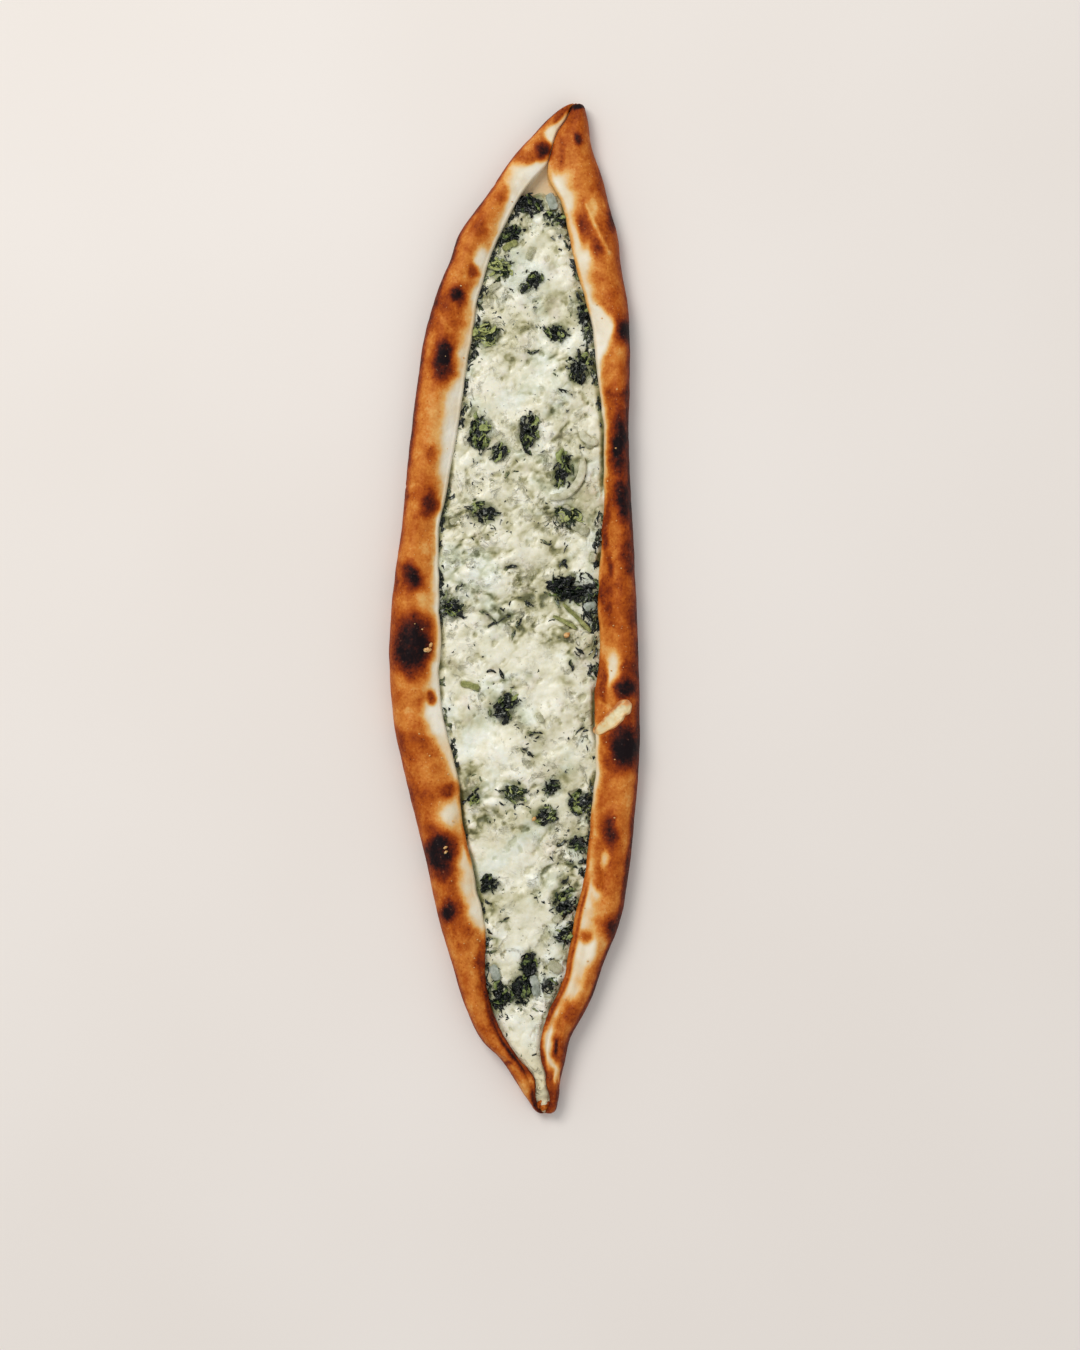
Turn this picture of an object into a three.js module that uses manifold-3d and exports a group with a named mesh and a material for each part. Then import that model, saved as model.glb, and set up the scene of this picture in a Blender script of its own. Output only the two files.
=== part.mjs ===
// A Turkish pide: a long boat of flatbread dough, folded in along both sides and pinched at its
// ends, filled with white cheese and chopped spinach, with some onion and spinach stalks.
// Units are millimetres. +Y runs along the boat, +Z is up, and the flat underside rests on Z = 0.
import * as THREE from "three";
import { mergeVertices } from "three/addons/utils/BufferGeometryUtils.js";
import Module from "manifold-3d";

const wasm = await Module();
wasm.setup();

// Driving dimensions
const HALF_LENGTH = 239.6;
const STATIONS = 84;
const BASE_THICKNESS = 4.4;
const CREST_HEIGHT = [[-240, 8.5], [-225, 12.5], [-200, 15], [-150, 16.5], [0, 17], [160, 16.5], [215, 13], [240, 9]];
const TOP_OVERLAP = 1.8;
const TOP_OVERLAP_FROM = 150;
const WIDEST_AT = 0.36;
const CREST_AT = 0.42;
const TUCK = 3.2;
const EDGE_HEIGHT = 11.4;
const LIP = 1.4;
const SEAM_HALF_GAP = 0.35;
const SEAM_DEPTH = 1.8;
const FLOOR_RISE = { top: [203, 214], bottom: [-238, -234] };
const CREST_WOBBLE = 0.9;
const CREST_WOBBLE_LENGTH = 34;
const END_ROUNDING = 5;
const END_ROUNDING_SHARE = 0.35;

const FILLING_FROM = -234;
const FILLING_TO = 199;
const FILLING_HEIGHT = 9.3;
const FILLING_DOME = 1.2;
const FILLING_LUMPS = [[14, 1.3, 5], [6.5, 0.7, 9]];
const FILLING_COLUMNS = 12;
const END_SLOPE_LENGTH = 10;
const END_SLOPE_DROP = 2.4;
const GAP = 0.35;
const WALL_CLEARANCE = 0.6;

const CLUMP_SIDES = 8;
const CLUMP_RISE = 1.5;
const CLUMP_SINK = 1.0;
const CLUMP_EDGE = 0.35;
const CLUMP_RAGGED = 1.14;
const SHRED_COUNT = 46;
const SHRED_LENGTH = [3.5, 6.5];
const SHRED_WIDTH = [0.9, 1.5];
const SHRED_RISE = 0.8;
const SHRED_SINK = 0.7;
const SHRED_CLEARANCE = 1.2;

// Edges of the boat seen from above, as [y, x] from one end to the other
const LEFT_OUTER = [
  [240, 26.5], [236, 20], [226, 9.5], [212, -2.5], [198, -12], [179, -25.5], [165, -30.5], [151, -36.5],
  [127, -43], [99, -47], [70, -50.5], [35, -54], [4, -58], [-24, -59.4], [-55, -57], [-91, -49],
  [-119, -42], [-147, -36], [-169, -29.5], [-185, -24.5], [-204, -16], [-214, -6], [-225, 1], [-233, 6],
  [-240, 10.5],
];
const LEFT_INNER = [
  [240, 28], [232, 24.5], [226, 20.5], [217, 17.5], [211, 15.8], [203, 8.5], [193, 1.5], [179, -5.5],
  [165, -12], [146, -17], [122, -21], [94, -25.5], [61, -31], [42, -35], [18, -35.7], [-15, -35],
  [-34, -35.7], [-58, -32.5], [-81, -26.7], [-105, -24], [-128, -18.7], [-150, -14], [-176, -13.5],
  [-195, -8.5], [-212, 1.2], [-219, 7.4], [-224, 9.8], [-232, 10.4], [-236, 11.4], [-240, 13.4],
];
const RIGHT_INNER = [
  [240, 28], [232, 24.5], [226, 20.5], [217, 17.5], [211, 16], [203, 16.5], [193, 22], [179, 25.5],
  [160, 29.5], [141, 35], [117, 39], [94, 41.5], [65, 42.5], [32, 41.5], [4, 39.5], [-20, 40],
  [-46, 38], [-74, 38.3], [-110, 35], [-133, 32], [-157, 26.5], [-176, 23], [-195, 14.4], [-207, 12.4],
  [-214, 12.6], [-220, 14.6], [-226, 15.2], [-232, 16.8], [-236, 16], [-240, 14.6],
];
const RIGHT_OUTER = [
  [240, 33.2], [231, 35], [219, 36.8], [203, 42], [188, 46], [174, 49.5], [160, 51], [144, 54],
  [122, 55], [99, 54.6], [70, 54.6], [32, 56.5], [-5, 58.4], [-43, 59.4], [-72, 59.4], [-100, 57],
  [-128, 54], [-147, 50.4], [-166, 43.3], [-185, 36.7], [-204, 26.5], [-215, 24], [-225, 21.7],
  [-231, 21.3], [-240, 19.5],
];

// Blisters that puffed up and scorched on the rims, as [x, y, half width, half length, height]
const BLISTERS = [
  [13.5, 217, 4, 4, 0.7], [30.5, 222, 2.5, 3.5, 0.5], [-27, 149, 4.5, 6, 0.9], [-32.5, 118, 5, 11, 1.2],
  [-38, 70, 3, 5, 0.5], [-40.5, 50, 3.5, 7, 0.7], [-48.5, 16, 4, 6, 0.8], [-47.5, -17, 9, 14, 1.7],
  [-41, -88, 3, 3, 0.4], [-32, -86, 3, 3, 0.5], [-35, -116, 7, 13, 1.6], [-31.5, -143, 4, 5, 0.8],
  [44, 187, 3, 7, 0.6], [52, 132, 4, 7, 0.8], [49.5, 79, 4, 12, 1.2], [51.5, 49, 3.5, 9, 1.0],
  [53, 25, 3, 6, 0.5], [53, -38.5, 4.5, 4, 0.8], [52, -65, 7, 10, 1.5], [45.5, -104, 4, 6, 0.8],
  [44.5, -151, 4, 4, 0.6],
];

// The right flap's edge is rolled back along this stretch, which leaves a valley beside it
const ROLLED_EDGE = { from: -226, to: -112, blend: 14, depth: 2.6, at: 0.52, spread: 0.24 };

// Spinach clumps as large as a berry, as [x, y, half length, half width, turn in degrees]
const SPINACH = [
  [8.5, 191.5, 6, 4.6, -20], [18.5, 184.5, 3.8, 3.2, 0], [-1, 177.5, 4.6, 2.8, 30],
  [-6.5, 161, 5.4, 4.2, 10], [8, 154.5, 5.2, 2.6, 45], [-13, 129.5, 5.8, 4.7, 0],
  [20.5, 130.5, 5, 3.4, -15], [31, 113.5, 7.2, 4.2, 80], [35.2, 137, 5.6, 1.9, 105],
  [-15.8, 83.5, 7.6, 4.2, 70], [6.8, 84, 7.2, 4, 85], [-6.8, 74, 4.6, 2.8, 50],
  [23.6, 65.5, 7.6, 4, 80], [-14.8, 45.5, 6.6, 4.2, -20], [26, 43, 6.8, 4.4, -25],
  [28.2, 9, 9.2, 5.4, 5], [-29.2, 0.5, 5, 4.6, 0], [-4.2, -46.5, 7, 5.6, 75],
  [-18.8, -88.5, 4.2, 2.2, 80], [-0.6, -86.8, 5.4, 4, -25], [18, -84.6, 3.8, 3.2, 0],
  [31, -92, 5, 4.4, 20], [15, -98, 4.4, 3.4, 0], [30, -111, 3.8, 2.8, 10],
  [-12, -130.6, 4.4, 2.9, 0], [23.2, -139.6, 5.6, 4.4, 70], [22.4, -155, 3.8, 3, 0],
  [7.8, -167.5, 5.4, 2.9, 80], [-7.6, -183, 6.4, 4.2, 80], [2.4, -181.5, 5.8, 4.4, 75],
  [16.2, -178.6, 3, 2.8, 0],
];

// Onion pieces and spinach stalks as straight chips: [name, x, y, half length, half width, turn in degrees]
const CHIPS = [
  ["onion_top_chip", 17.4, 192.6, 4, 2.3, -70], ["onion_square_chip", 36, 0.4, 2.8, 2.3, 10],
  ["onion_long_chip", 9.4, -178.6, 4.8, 2, -80], ["onion_side_chip", -9.6, -172.6, 3.6, 2.2, -70],
  ["stalk_top", -1.8, 171.6, 3.8, 1.6, 30], ["stalk_left", -21, -36.8, 4.6, 1.6, -15],
  ["stalk_long", 29.6, -4.4, 9.4, 1, -45], ["stalk_short", 24, -6.6, 6.4, 1, -28],
];
const CHIP_RISE = 1.4;
const CHIP_SINK = 1.2;

// Curved onion slices, as [name, centre x, centre y, radius, first and last angle in degrees]
const SLICES = [
  ["onion_ring_slice", 18.8, 66.6, 13.6, -98, 18], ["onion_small_slice", 37.4, 84.6, 5.6, 190, 292],
];
const SLICE_WIDTH = 3.2;
const SLICE_STEPS = 9;

// Cheese that ran over the right rim and baked on
const SPILL = { x: 48.6, y: -50, halfLength: 8.6, halfWidth: 4.2, halfHeight: 1.6, turn: 38 };
const SPILL_TAIL = 0.55;

// A repeatable number from 0 to 1 for whole numbers
function scatter(i, j, seed) {
  const mixed = Math.sin(i * 127.1 + j * 311.7 + seed * 74.7) * 43758.5453;
  return mixed - Math.floor(mixed);
}

// Smooth noise from -1 to 1 with features one unit wide
function noise(x, y, seed) {
  const i = Math.floor(x);
  const j = Math.floor(y);
  const u = THREE.MathUtils.smoothstep(x - i, 0, 1);
  const v = THREE.MathUtils.smoothstep(y - j, 0, 1);
  const low = THREE.MathUtils.lerp(scatter(i, j, seed), scatter(i + 1, j, seed), u);
  const high = THREE.MathUtils.lerp(scatter(i, j + 1, seed), scatter(i + 1, j + 1, seed), u);
  return 2 * THREE.MathUtils.lerp(low, high, v) - 1;
}

// A smooth function through points [position, value], in either order of position
function curve(points) {
  const p = [...points].sort((a, b) => a[0] - b[0]);
  const slope = p.map((_, i) => {
    const before = p[Math.max(i - 1, 0)];
    const after = p[Math.min(i + 1, p.length - 1)];
    return (after[1] - before[1]) / (after[0] - before[0]);
  });
  return (at) => {
    const t = THREE.MathUtils.clamp(at, p[0][0], p[p.length - 1][0]);
    let k = 0;
    while (k < p.length - 2 && t > p[k + 1][0]) k++;
    const span = p[k + 1][0] - p[k][0];
    const s = (t - p[k][0]) / span;
    const h = s * s * (3 - 2 * s);
    const bend = span * s * (1 - s) * ((1 - s) * slope[k] - s * slope[k + 1]);
    return p[k][1] * (1 - h) + p[k + 1][1] * h + bend;
  };
}

const crestHeight = curve(CREST_HEIGHT);
const sides = {
  left: { outer: curve(LEFT_OUTER), inner: curve(LEFT_INNER), inward: 1 },
  right: { outer: curve(RIGHT_OUTER), inner: curve(RIGHT_INNER), inward: -1 },
};

// Where the flaps' free edges run, kept apart so that the seam at the ends stays open
function innerEdge(side, y) {
  const middle = (sides.left.inner(y) + sides.right.inner(y)) / 2;
  const edge = side.inner(y);
  return side.inward > 0 ? Math.min(edge, middle - SEAM_HALF_GAP) : Math.max(edge, middle + SEAM_HALF_GAP);
}

function edgeHeight(y) {
  return Math.min(EDGE_HEIGHT, crestHeight(y) - 1.2);
}

// The dough's floor under the filling, which climbs into a shallow seam at both ends
function floorHeight(y) {
  const { top, bottom } = FLOOR_RISE;
  const closed = Math.max(
    THREE.MathUtils.smoothstep(y, top[0], top[1]),
    1 - THREE.MathUtils.smoothstep(y, bottom[0], bottom[1]),
  );
  return THREE.MathUtils.lerp(BASE_THICKNESS, edgeHeight(y) - LIP - SEAM_DEPTH, closed);
}

// Raises that blisters give the crust at a point
function blisterHeight(x, y) {
  return BLISTERS.reduce((sum, [bx, by, halfWidth, halfLength, height]) => {
    const far = ((x - bx) / halfWidth) ** 2 + ((y - by) / halfLength) ** 2;
    return sum + height * Math.exp(-far);
  }, 0);
}

// How far the rolled edge's valley sinks at a share of the way from the crest to the edge
function valleyDepth(side, y, share) {
  if (side !== sides.right) return 0;
  const { from, to, blend, depth, at, spread } = ROLLED_EDGE;
  const along =
    THREE.MathUtils.smoothstep(y, from, from + blend) * (1 - THREE.MathUtils.smoothstep(y, to - blend, to));
  return depth * along * Math.exp(-(((share - at) / spread) ** 2));
}

// One rim's outline at a station, from its line of contact with the table, out round the fold,
// over the crest and down to the floor under the filling
function rimOutline(side, y) {
  const outer = side.outer(y);
  const width = Math.abs(innerEdge(side, y) - outer);
  const overlap = side === sides.right ? THREE.MathUtils.smoothstep(y, TOP_OVERLAP_FROM, HALF_LENGTH) : 0;
  const wobble = CREST_WOBBLE * noise(y / CREST_WOBBLE_LENGTH, side.inward, 3);
  const crest = crestHeight(y) + TOP_OVERLAP * overlap + wobble;
  const waist = WIDEST_AT * crest;
  const tuck = Math.min(TUCK, 0.3 * width);
  const crestAt = CREST_AT * width;
  const edge = edgeHeight(y);
  const points = [];
  for (const turn of [0, 45, 90]) {
    const a = THREE.MathUtils.degToRad(turn);
    points.push([tuck * (1 - Math.sin(a)), waist * (1 - Math.cos(a)), 0]);
  }
  for (const turn of [35, 65, 90]) {
    const a = THREE.MathUtils.degToRad(turn);
    points.push([crestAt * (1 - Math.cos(a)), waist + (crest - waist) * Math.sin(a), 1]);
  }
  for (const share of [0.3, 0.55, 0.82]) {
    const z = crest - (crest - edge) * share ** 1.6 - valleyDepth(side, y, share);
    points.push([THREE.MathUtils.lerp(crestAt, width, share), z, 1]);
  }
  points.push([width, edge - LIP, 0]);
  points.push([width, floorHeight(y), 0]);
  return points.map(([inward, z, puffed]) => {
    const x = outer + side.inward * inward;
    return [x, z + puffed * blisterHeight(x, y)];
  });
}

// Positions along the boat, closer together at the ends
function stationList() {
  const list = [];
  for (let i = 0; i <= STATIONS; i++) {
    const t = (2 * i) / STATIONS - 1;
    list.push(HALF_LENGTH * (0.55 * t + 0.45 * Math.sin((Math.PI * t) / 2)));
  }
  return list;
}

// A closed solid through rings of points, each ring counter-clockwise seen from its +Y side
function loft(rings) {
  const count = rings[0].length;
  const positions = rings.flat(2);
  const index = [];
  for (let i = 0; i + 1 < rings.length; i++) {
    for (let k = 0; k < count; k++) {
      const next = (k + 1) % count;
      const a = i * count + k;
      const b = i * count + next;
      index.push(a, b, b + count, a, b + count, a + count);
    }
  }
  for (const last of [0, rings.length - 1]) {
    const ring = rings[last];
    const flat = ring.map(([x, , z]) => new THREE.Vector2(x, z));
    for (const [a, b, c] of THREE.ShapeUtils.triangulateShape(flat, [])) {
      const corners = [a, b, c].map((k) => last * count + k);
      index.push(...(last === 0 ? corners : corners.reverse()));
    }
  }
  const geometry = new THREE.BufferGeometry();
  geometry.setAttribute("position", new THREE.Float32BufferAttribute(positions, 3));
  geometry.setIndex(index);
  return geometry;
}

// A manifold-3d solid of a closed geometry, turned right side out if its faces point inwards
function solid(geometry) {
  const bare = geometry.clone();
  bare.deleteAttribute("normal");
  bare.deleteAttribute("uv");
  const merged = mergeVertices(bare, 1e-4);
  const triVerts = new Uint32Array(merged.index.array);
  const vertProperties = merged.attributes.position.array;
  const made = new wasm.Manifold(new wasm.Mesh({ numProp: 3, vertProperties, triVerts }));
  if (made.volume() > 0) return made;
  for (let i = 0; i < triVerts.length; i += 3) {
    [triVerts[i + 1], triVerts[i + 2]] = [triVerts[i + 2], triVerts[i + 1]];
  }
  return new wasm.Manifold(new wasm.Mesh({ numProp: 3, vertProperties, triVerts }));
}

// The geometry of a manifold-3d solid, without bodies smaller than a crumb
function geometryOf(manifold) {
  const bodies = manifold.decompose().sort((a, b) => b.volume() - a.volume());
  const { numProp, vertProperties, triVerts, numVert } = bodies[0].getMesh();
  const positions = [];
  for (let i = 0; i < numVert; i++) positions.push(...vertProperties.slice(i * numProp, i * numProp + 3));
  const geometry = new THREE.BufferGeometry();
  geometry.setAttribute("position", new THREE.Float32BufferAttribute(positions, 3));
  geometry.setIndex([...triVerts]);
  geometry.computeVertexNormals();
  return geometry;
}

function doughSolid() {
  const rings = stationList().map((y) => {
    const ring = [...rimOutline(sides.left, y), ...rimOutline(sides.right, y).reverse()];
    const fromEnd = HALF_LENGTH - Math.abs(y);
    const closing = Math.sqrt(Math.max(0, 1 - Math.max(0, 1 - fromEnd / END_ROUNDING) ** 2));
    const keep = 1 - END_ROUNDING_SHARE * (1 - closing);
    const middle = (sides.left.outer(y) + sides.right.outer(y)) / 2;
    return ring.map(([x, z]) => [middle + (x - middle) * keep, y, z * keep]);
  });
  return solid(loft(rings));
}

// How far across the filling a point lies, from -1 at its left edge to 1 at its right edge
function acrossFilling(x, y) {
  const left = innerEdge(sides.left, y);
  const right = innerEdge(sides.right, y);
  return (2 * x - left - right) / (right - left);
}

function fillingHeight(x, y) {
  const across = THREE.MathUtils.clamp(acrossFilling(x, y), -1, 1);
  const lumps = FILLING_LUMPS.reduce(
    (sum, [size, height, seed]) => sum + height * noise(x / size, y / size, seed),
    0,
  );
  const toEnd = Math.min(FILLING_TO - y, y - FILLING_FROM);
  const slope = END_SLOPE_DROP * (1 - THREE.MathUtils.smoothstep(toEnd, 0, END_SLOPE_LENGTH));
  return FILLING_HEIGHT + FILLING_DOME * (1 - across ** 4) + lumps * (1 - 0.5 * across ** 6) - slope;
}

function fillingCore() {
  const inside = stationList().filter((y) => y > FILLING_FROM + 1 && y < FILLING_TO - 1);
  const rings = [FILLING_FROM, ...inside, FILLING_TO].map((y) => {
    const left = innerEdge(sides.left, y) + GAP;
    const right = innerEdge(sides.right, y) - GAP;
    const ring = [[left, y, floorHeight(y) + GAP]];
    for (let k = 0; k < FILLING_COLUMNS; k++) {
      const x = THREE.MathUtils.lerp(left, right, k / (FILLING_COLUMNS - 1));
      ring.push([x, y, fillingHeight(x, y)]);
    }
    ring.push([right, y, floorHeight(y) + GAP]);
    return ring;
  });
  return solid(loft(rings));
}

// The sideways shift that brings points on the filling clear of both walls
function shiftInside(points) {
  const toRight = points.map(([x, y]) => innerEdge(sides.left, y) + WALL_CLEARANCE - x);
  const toLeft = points.map(([x, y]) => x - innerEdge(sides.right, y) + WALL_CLEARANCE);
  return Math.max(0, ...toRight) - Math.max(0, ...toLeft);
}

// A crumpled leaf clump, lens-shaped with a ragged edge. grow makes the pocket that it lies in.
function clump([x, y, halfLength, halfWidth, turn], seed, grow) {
  const z = fillingHeight(x, y);
  const angle = THREE.MathUtils.degToRad(turn);
  const at = (share, k, rise) => {
    const a = (2 * Math.PI * k) / CLUMP_SIDES;
    const ragged = share === 1 ? CLUMP_RAGGED - 0.3 * scatter(k, seed, 1) : 1;
    const u = (halfLength * share * ragged + grow) * Math.cos(a);
    const v = (halfWidth * share * ragged + grow) * Math.sin(a);
    const px = x + u * Math.cos(angle) - v * Math.sin(angle);
    const py = y + u * Math.sin(angle) + v * Math.cos(angle);
    return [px, py, z + rise + Math.sign(rise) * grow];
  };
  const rings = [-1, 1].map((up) => {
    const full = up > 0 ? CLUMP_RISE : CLUMP_SINK;
    const uneven = (k) => (up > 0 ? 0.55 + 0.6 * scatter(k, seed, 2) : 0.8);
    const centre = at(0, 0, up * full * 0.9);
    centre[0] = x;
    centre[1] = y;
    return {
      centre,
      half: Array.from({ length: CLUMP_SIDES }, (_, k) => at(0.6, k, up * full * uneven(k))),
      edge: Array.from({ length: CLUMP_SIDES }, (_, k) => at(1, k, up * CLUMP_EDGE)),
    };
  });
  const positions = rings.flatMap((r) => [r.centre, ...r.half, ...r.edge]).flat();
  const index = [];
  const size = 1 + 2 * CLUMP_SIDES;
  for (let k = 0; k < CLUMP_SIDES; k++) {
    const next = (k + 1) % CLUMP_SIDES;
    for (const base of [0, size]) {
      const [c, h, hn] = [base, base + 1 + k, base + 1 + next];
      const [e, en] = [h + CLUMP_SIDES, hn + CLUMP_SIDES];
      const faces = [[c, h, hn], [h, e, en], [h, en, hn]];
      for (const [a, b, d] of faces) index.push(...(base ? [a, b, d] : [a, d, b]));
    }
    const [low, lowNext] = [1 + CLUMP_SIDES + k, 1 + CLUMP_SIDES + next];
    index.push(low, lowNext, lowNext + size, low, lowNext + size, low + size);
  }
  const geometry = new THREE.BufferGeometry();
  geometry.setAttribute("position", new THREE.Float32BufferAttribute(positions, 3));
  geometry.setIndex(index);
  return solid(geometry);
}

// A bar along a path of points on the filling, half sunk, with a flat top and square ends
function bar(path, halfWidth, rise, sink, grow) {
  const rings = path.map(([x, y], i) => {
    const before = path[Math.max(i - 1, 0)];
    const after = path[Math.min(i + 1, path.length - 1)];
    const along = new THREE.Vector2(after[0] - before[0], after[1] - before[1]).normalize();
    const end = i === 0 ? -grow : i === path.length - 1 ? grow : 0;
    const z = fillingHeight(x, y);
    const corner = (side, height) => [
      x + along.x * end - along.y * side * (halfWidth + grow),
      y + along.y * end + along.x * side * (halfWidth + grow),
      z + height,
    ];
    return [
      corner(-1, -sink - grow), corner(1, -sink - grow), corner(1, 0.5 * rise + grow),
      corner(0.55, rise + grow), corner(-0.55, rise + grow), corner(-1, 0.5 * rise + grow),
    ];
  });
  const count = rings[0].length;
  const index = [];
  for (let i = 0; i + 1 < rings.length; i++) {
    for (let k = 0; k < count; k++) {
      const a = i * count + k;
      const b = i * count + ((k + 1) % count);
      index.push(a, b, b + count, a, b + count, a + count);
    }
  }
  const last = (rings.length - 1) * count;
  for (let k = 1; k + 1 < count; k++) index.push(0, k + 1, k, last, last + k, last + k + 1);
  const geometry = new THREE.BufferGeometry();
  geometry.setAttribute("position", new THREE.Float32BufferAttribute(rings.flat(2), 3));
  geometry.setIndex(index);
  return solid(geometry);
}

function straightPath(x, y, halfLength, turn, steps) {
  const angle = THREE.MathUtils.degToRad(turn);
  return Array.from({ length: steps + 1 }, (_, i) => {
    const along = halfLength * ((2 * i) / steps - 1);
    return [x + along * Math.cos(angle), y + along * Math.sin(angle)];
  });
}

function arcPath(x, y, radius, from, to, steps) {
  return Array.from({ length: steps + 1 }, (_, i) => {
    const angle = THREE.MathUtils.degToRad(THREE.MathUtils.lerp(from, to, i / steps));
    return [x + radius * Math.cos(angle), y + radius * Math.sin(angle)];
  });
}

// Toppings large enough to be pieces of their own, as {name, material, make(grow)}
function toppings() {
  const clumps = SPINACH.map(([x, y, halfLength, halfWidth, turn], i) => {
    const reach = CLUMP_RAGGED * halfLength;
    const inside = x + shiftInside(arcPath(x, y, reach, 0, 360, 24).map(([px, py]) => {
      const squash = new THREE.Vector2(px - x, py - y);
      squash.y *= halfWidth / halfLength;
      squash.rotateAround(new THREE.Vector2(), THREE.MathUtils.degToRad(turn));
      return [x + squash.x, y + squash.y];
    }));
    return {
      name: `spinach_${String(i + 1).padStart(2, "0")}`,
      material: materials.spinach,
      make: (grow) => clump([inside, y, halfLength, halfWidth, turn], i + 1, grow),
    };
  });
  const chips = CHIPS.map(([name, x, y, halfLength, halfWidth, turn]) => ({
    name,
    material: name.startsWith("stalk") ? materials.stalk : materials.onion,
    make: (grow) => bar(straightPath(x, y, halfLength, turn, 2), halfWidth, CHIP_RISE, CHIP_SINK, grow),
  }));
  const slices = SLICES.map(([name, x, y, radius, from, to]) => ({
    name,
    material: materials.onion,
    make: (grow) =>
      bar(arcPath(x, y, radius, from, to, SLICE_STEPS), SLICE_WIDTH / 2, CHIP_RISE, CHIP_SINK, grow),
  }));
  return [...clumps, ...chips, ...slices];
}

// Whether a shred there would stay on the filling and clear of the larger pieces
function isClear(x, y) {
  const left = innerEdge(sides.left, y);
  const right = innerEdge(sides.right, y);
  const room = SHRED_CLEARANCE + SHRED_LENGTH[1] / 2;
  if (x < left + room || x > right - room) return false;
  const nearClump = SPINACH.some(([cx, cy, a]) => Math.hypot(x - cx, y - cy) < a * 1.15 + room);
  const nearChip = CHIPS.some(([, cx, cy, a]) => Math.hypot(x - cx, y - cy) < a + room);
  const nearSlice = SLICES.some(([, cx, cy, r]) => Math.abs(Math.hypot(x - cx, y - cy) - r) < SLICE_WIDTH + room);
  return !(nearClump || nearChip || nearSlice);
}

// Small spinach shreds spread evenly over the free cheese
function shreds() {
  const made = [];
  for (let i = 0; made.length < SHRED_COUNT && i < 4000; i++) {
    const x = THREE.MathUtils.lerp(-36, 42, scatter(i, 1, 11));
    const y = THREE.MathUtils.lerp(FILLING_FROM + 14, FILLING_TO - 8, scatter(i, 2, 11));
    const apart = made.every((other) => Math.hypot(x - other.x, y - other.y) > 8);
    if (!isClear(x, y) || !apart) continue;
    const halfLength = THREE.MathUtils.lerp(...SHRED_LENGTH, scatter(i, 3, 11)) / 2;
    const halfWidth = THREE.MathUtils.lerp(...SHRED_WIDTH, scatter(i, 4, 11)) / 2;
    const path = straightPath(x, y, halfLength, 180 * scatter(i, 5, 11), 1);
    made.push({ x, y, body: bar(path, halfWidth, SHRED_RISE, SHRED_SINK, 0) });
  }
  return made.map((shred) => shred.body);
}

// The baked cheese on the rim, a low lens with a narrow tail, its lower half let into the crust
function spill(grow) {
  const { x, y, halfLength, halfWidth, halfHeight, turn } = SPILL;
  const rings = 5;
  const sectors = 16;
  const geometry = new THREE.SphereGeometry(1, sectors, rings);
  geometry.rotateX(Math.PI / 2);
  const { position } = geometry.attributes;
  for (let i = 0; i < position.count; i++) {
    const wide = THREE.MathUtils.lerp(SPILL_TAIL, 1, THREE.MathUtils.smoothstep(position.getX(i), -0.9, 0.5));
    position.setY(i, position.getY(i) * wide);
  }
  geometry.scale(halfLength + grow, halfWidth + grow, halfHeight + grow);
  geometry.rotateZ(THREE.MathUtils.degToRad(turn));
  geometry.rotateY(THREE.MathUtils.degToRad(-6));
  geometry.translate(x, y, 16.2);
  return solid(geometry);
}

const materials = {
  dough: new THREE.MeshStandardMaterial({ color: 0xc07434, roughness: 0.62, metalness: 0 }),
  cheese: new THREE.MeshStandardMaterial({ color: 0xdcdac8, roughness: 0.5, metalness: 0 }),
  spinach: new THREE.MeshStandardMaterial({ color: 0x1d2a22, roughness: 0.4, metalness: 0 }),
  stalk: new THREE.MeshStandardMaterial({ color: 0x8f9152, roughness: 0.5, metalness: 0 }),
  onion: new THREE.MeshStandardMaterial({ color: 0xa8aa9a, roughness: 0.35, metalness: 0 }),
};

function node(name, body, material) {
  const mesh = new THREE.Mesh(geometryOf(body), material);
  mesh.name = name;
  return mesh;
}

const pide = new THREE.Group();
const pieces = toppings();
const pockets = wasm.Manifold.union(pieces.map((piece) => piece.make(GAP)));
const filling = wasm.Manifold.union([fillingCore(), ...shreds()]);
pide.add(node("dough", doughSolid().subtract(spill(GAP)), materials.dough));
pide.add(node("filling", filling.subtract(pockets), materials.cheese));
pide.add(node("cheese_spill", spill(0), materials.cheese));
for (const piece of pieces) pide.add(node(piece.name, piece.make(0), piece.material));

// The origin is the middle of the underside
const box = new THREE.Box3().setFromObject(pide);
pide.position.set(-(box.min.x + box.max.x) / 2, -(box.min.y + box.max.y) / 2, -box.min.z);

export default pide;
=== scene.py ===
"""Dresses the pide: blistered crust, curdled cheese, wilted spinach and onion, floor, light and camera.

Shapes are worked out in millimetres in the plan of the solids, and turned into metres as each mesh is
made. +Y runs along the boat, +Z is up.
"""

import math
import random

import bpy
import numpy as np
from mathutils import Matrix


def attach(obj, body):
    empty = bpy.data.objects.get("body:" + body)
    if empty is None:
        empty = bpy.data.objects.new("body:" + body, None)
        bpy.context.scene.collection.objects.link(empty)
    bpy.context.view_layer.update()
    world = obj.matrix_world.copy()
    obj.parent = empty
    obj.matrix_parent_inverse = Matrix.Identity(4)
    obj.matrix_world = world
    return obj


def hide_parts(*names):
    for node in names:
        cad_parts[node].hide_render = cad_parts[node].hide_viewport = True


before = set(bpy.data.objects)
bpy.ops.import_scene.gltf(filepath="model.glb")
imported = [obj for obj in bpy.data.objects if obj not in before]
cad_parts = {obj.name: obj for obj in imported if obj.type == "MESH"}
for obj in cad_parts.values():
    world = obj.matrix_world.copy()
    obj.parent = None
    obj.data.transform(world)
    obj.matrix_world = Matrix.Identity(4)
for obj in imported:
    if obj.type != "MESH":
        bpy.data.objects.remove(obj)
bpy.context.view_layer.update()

# Driving dimensions of the dough: the solids' own, but the seams and the ends close finer here
HALF_LENGTH = 239.6
BASE_THICKNESS = 4.4
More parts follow.
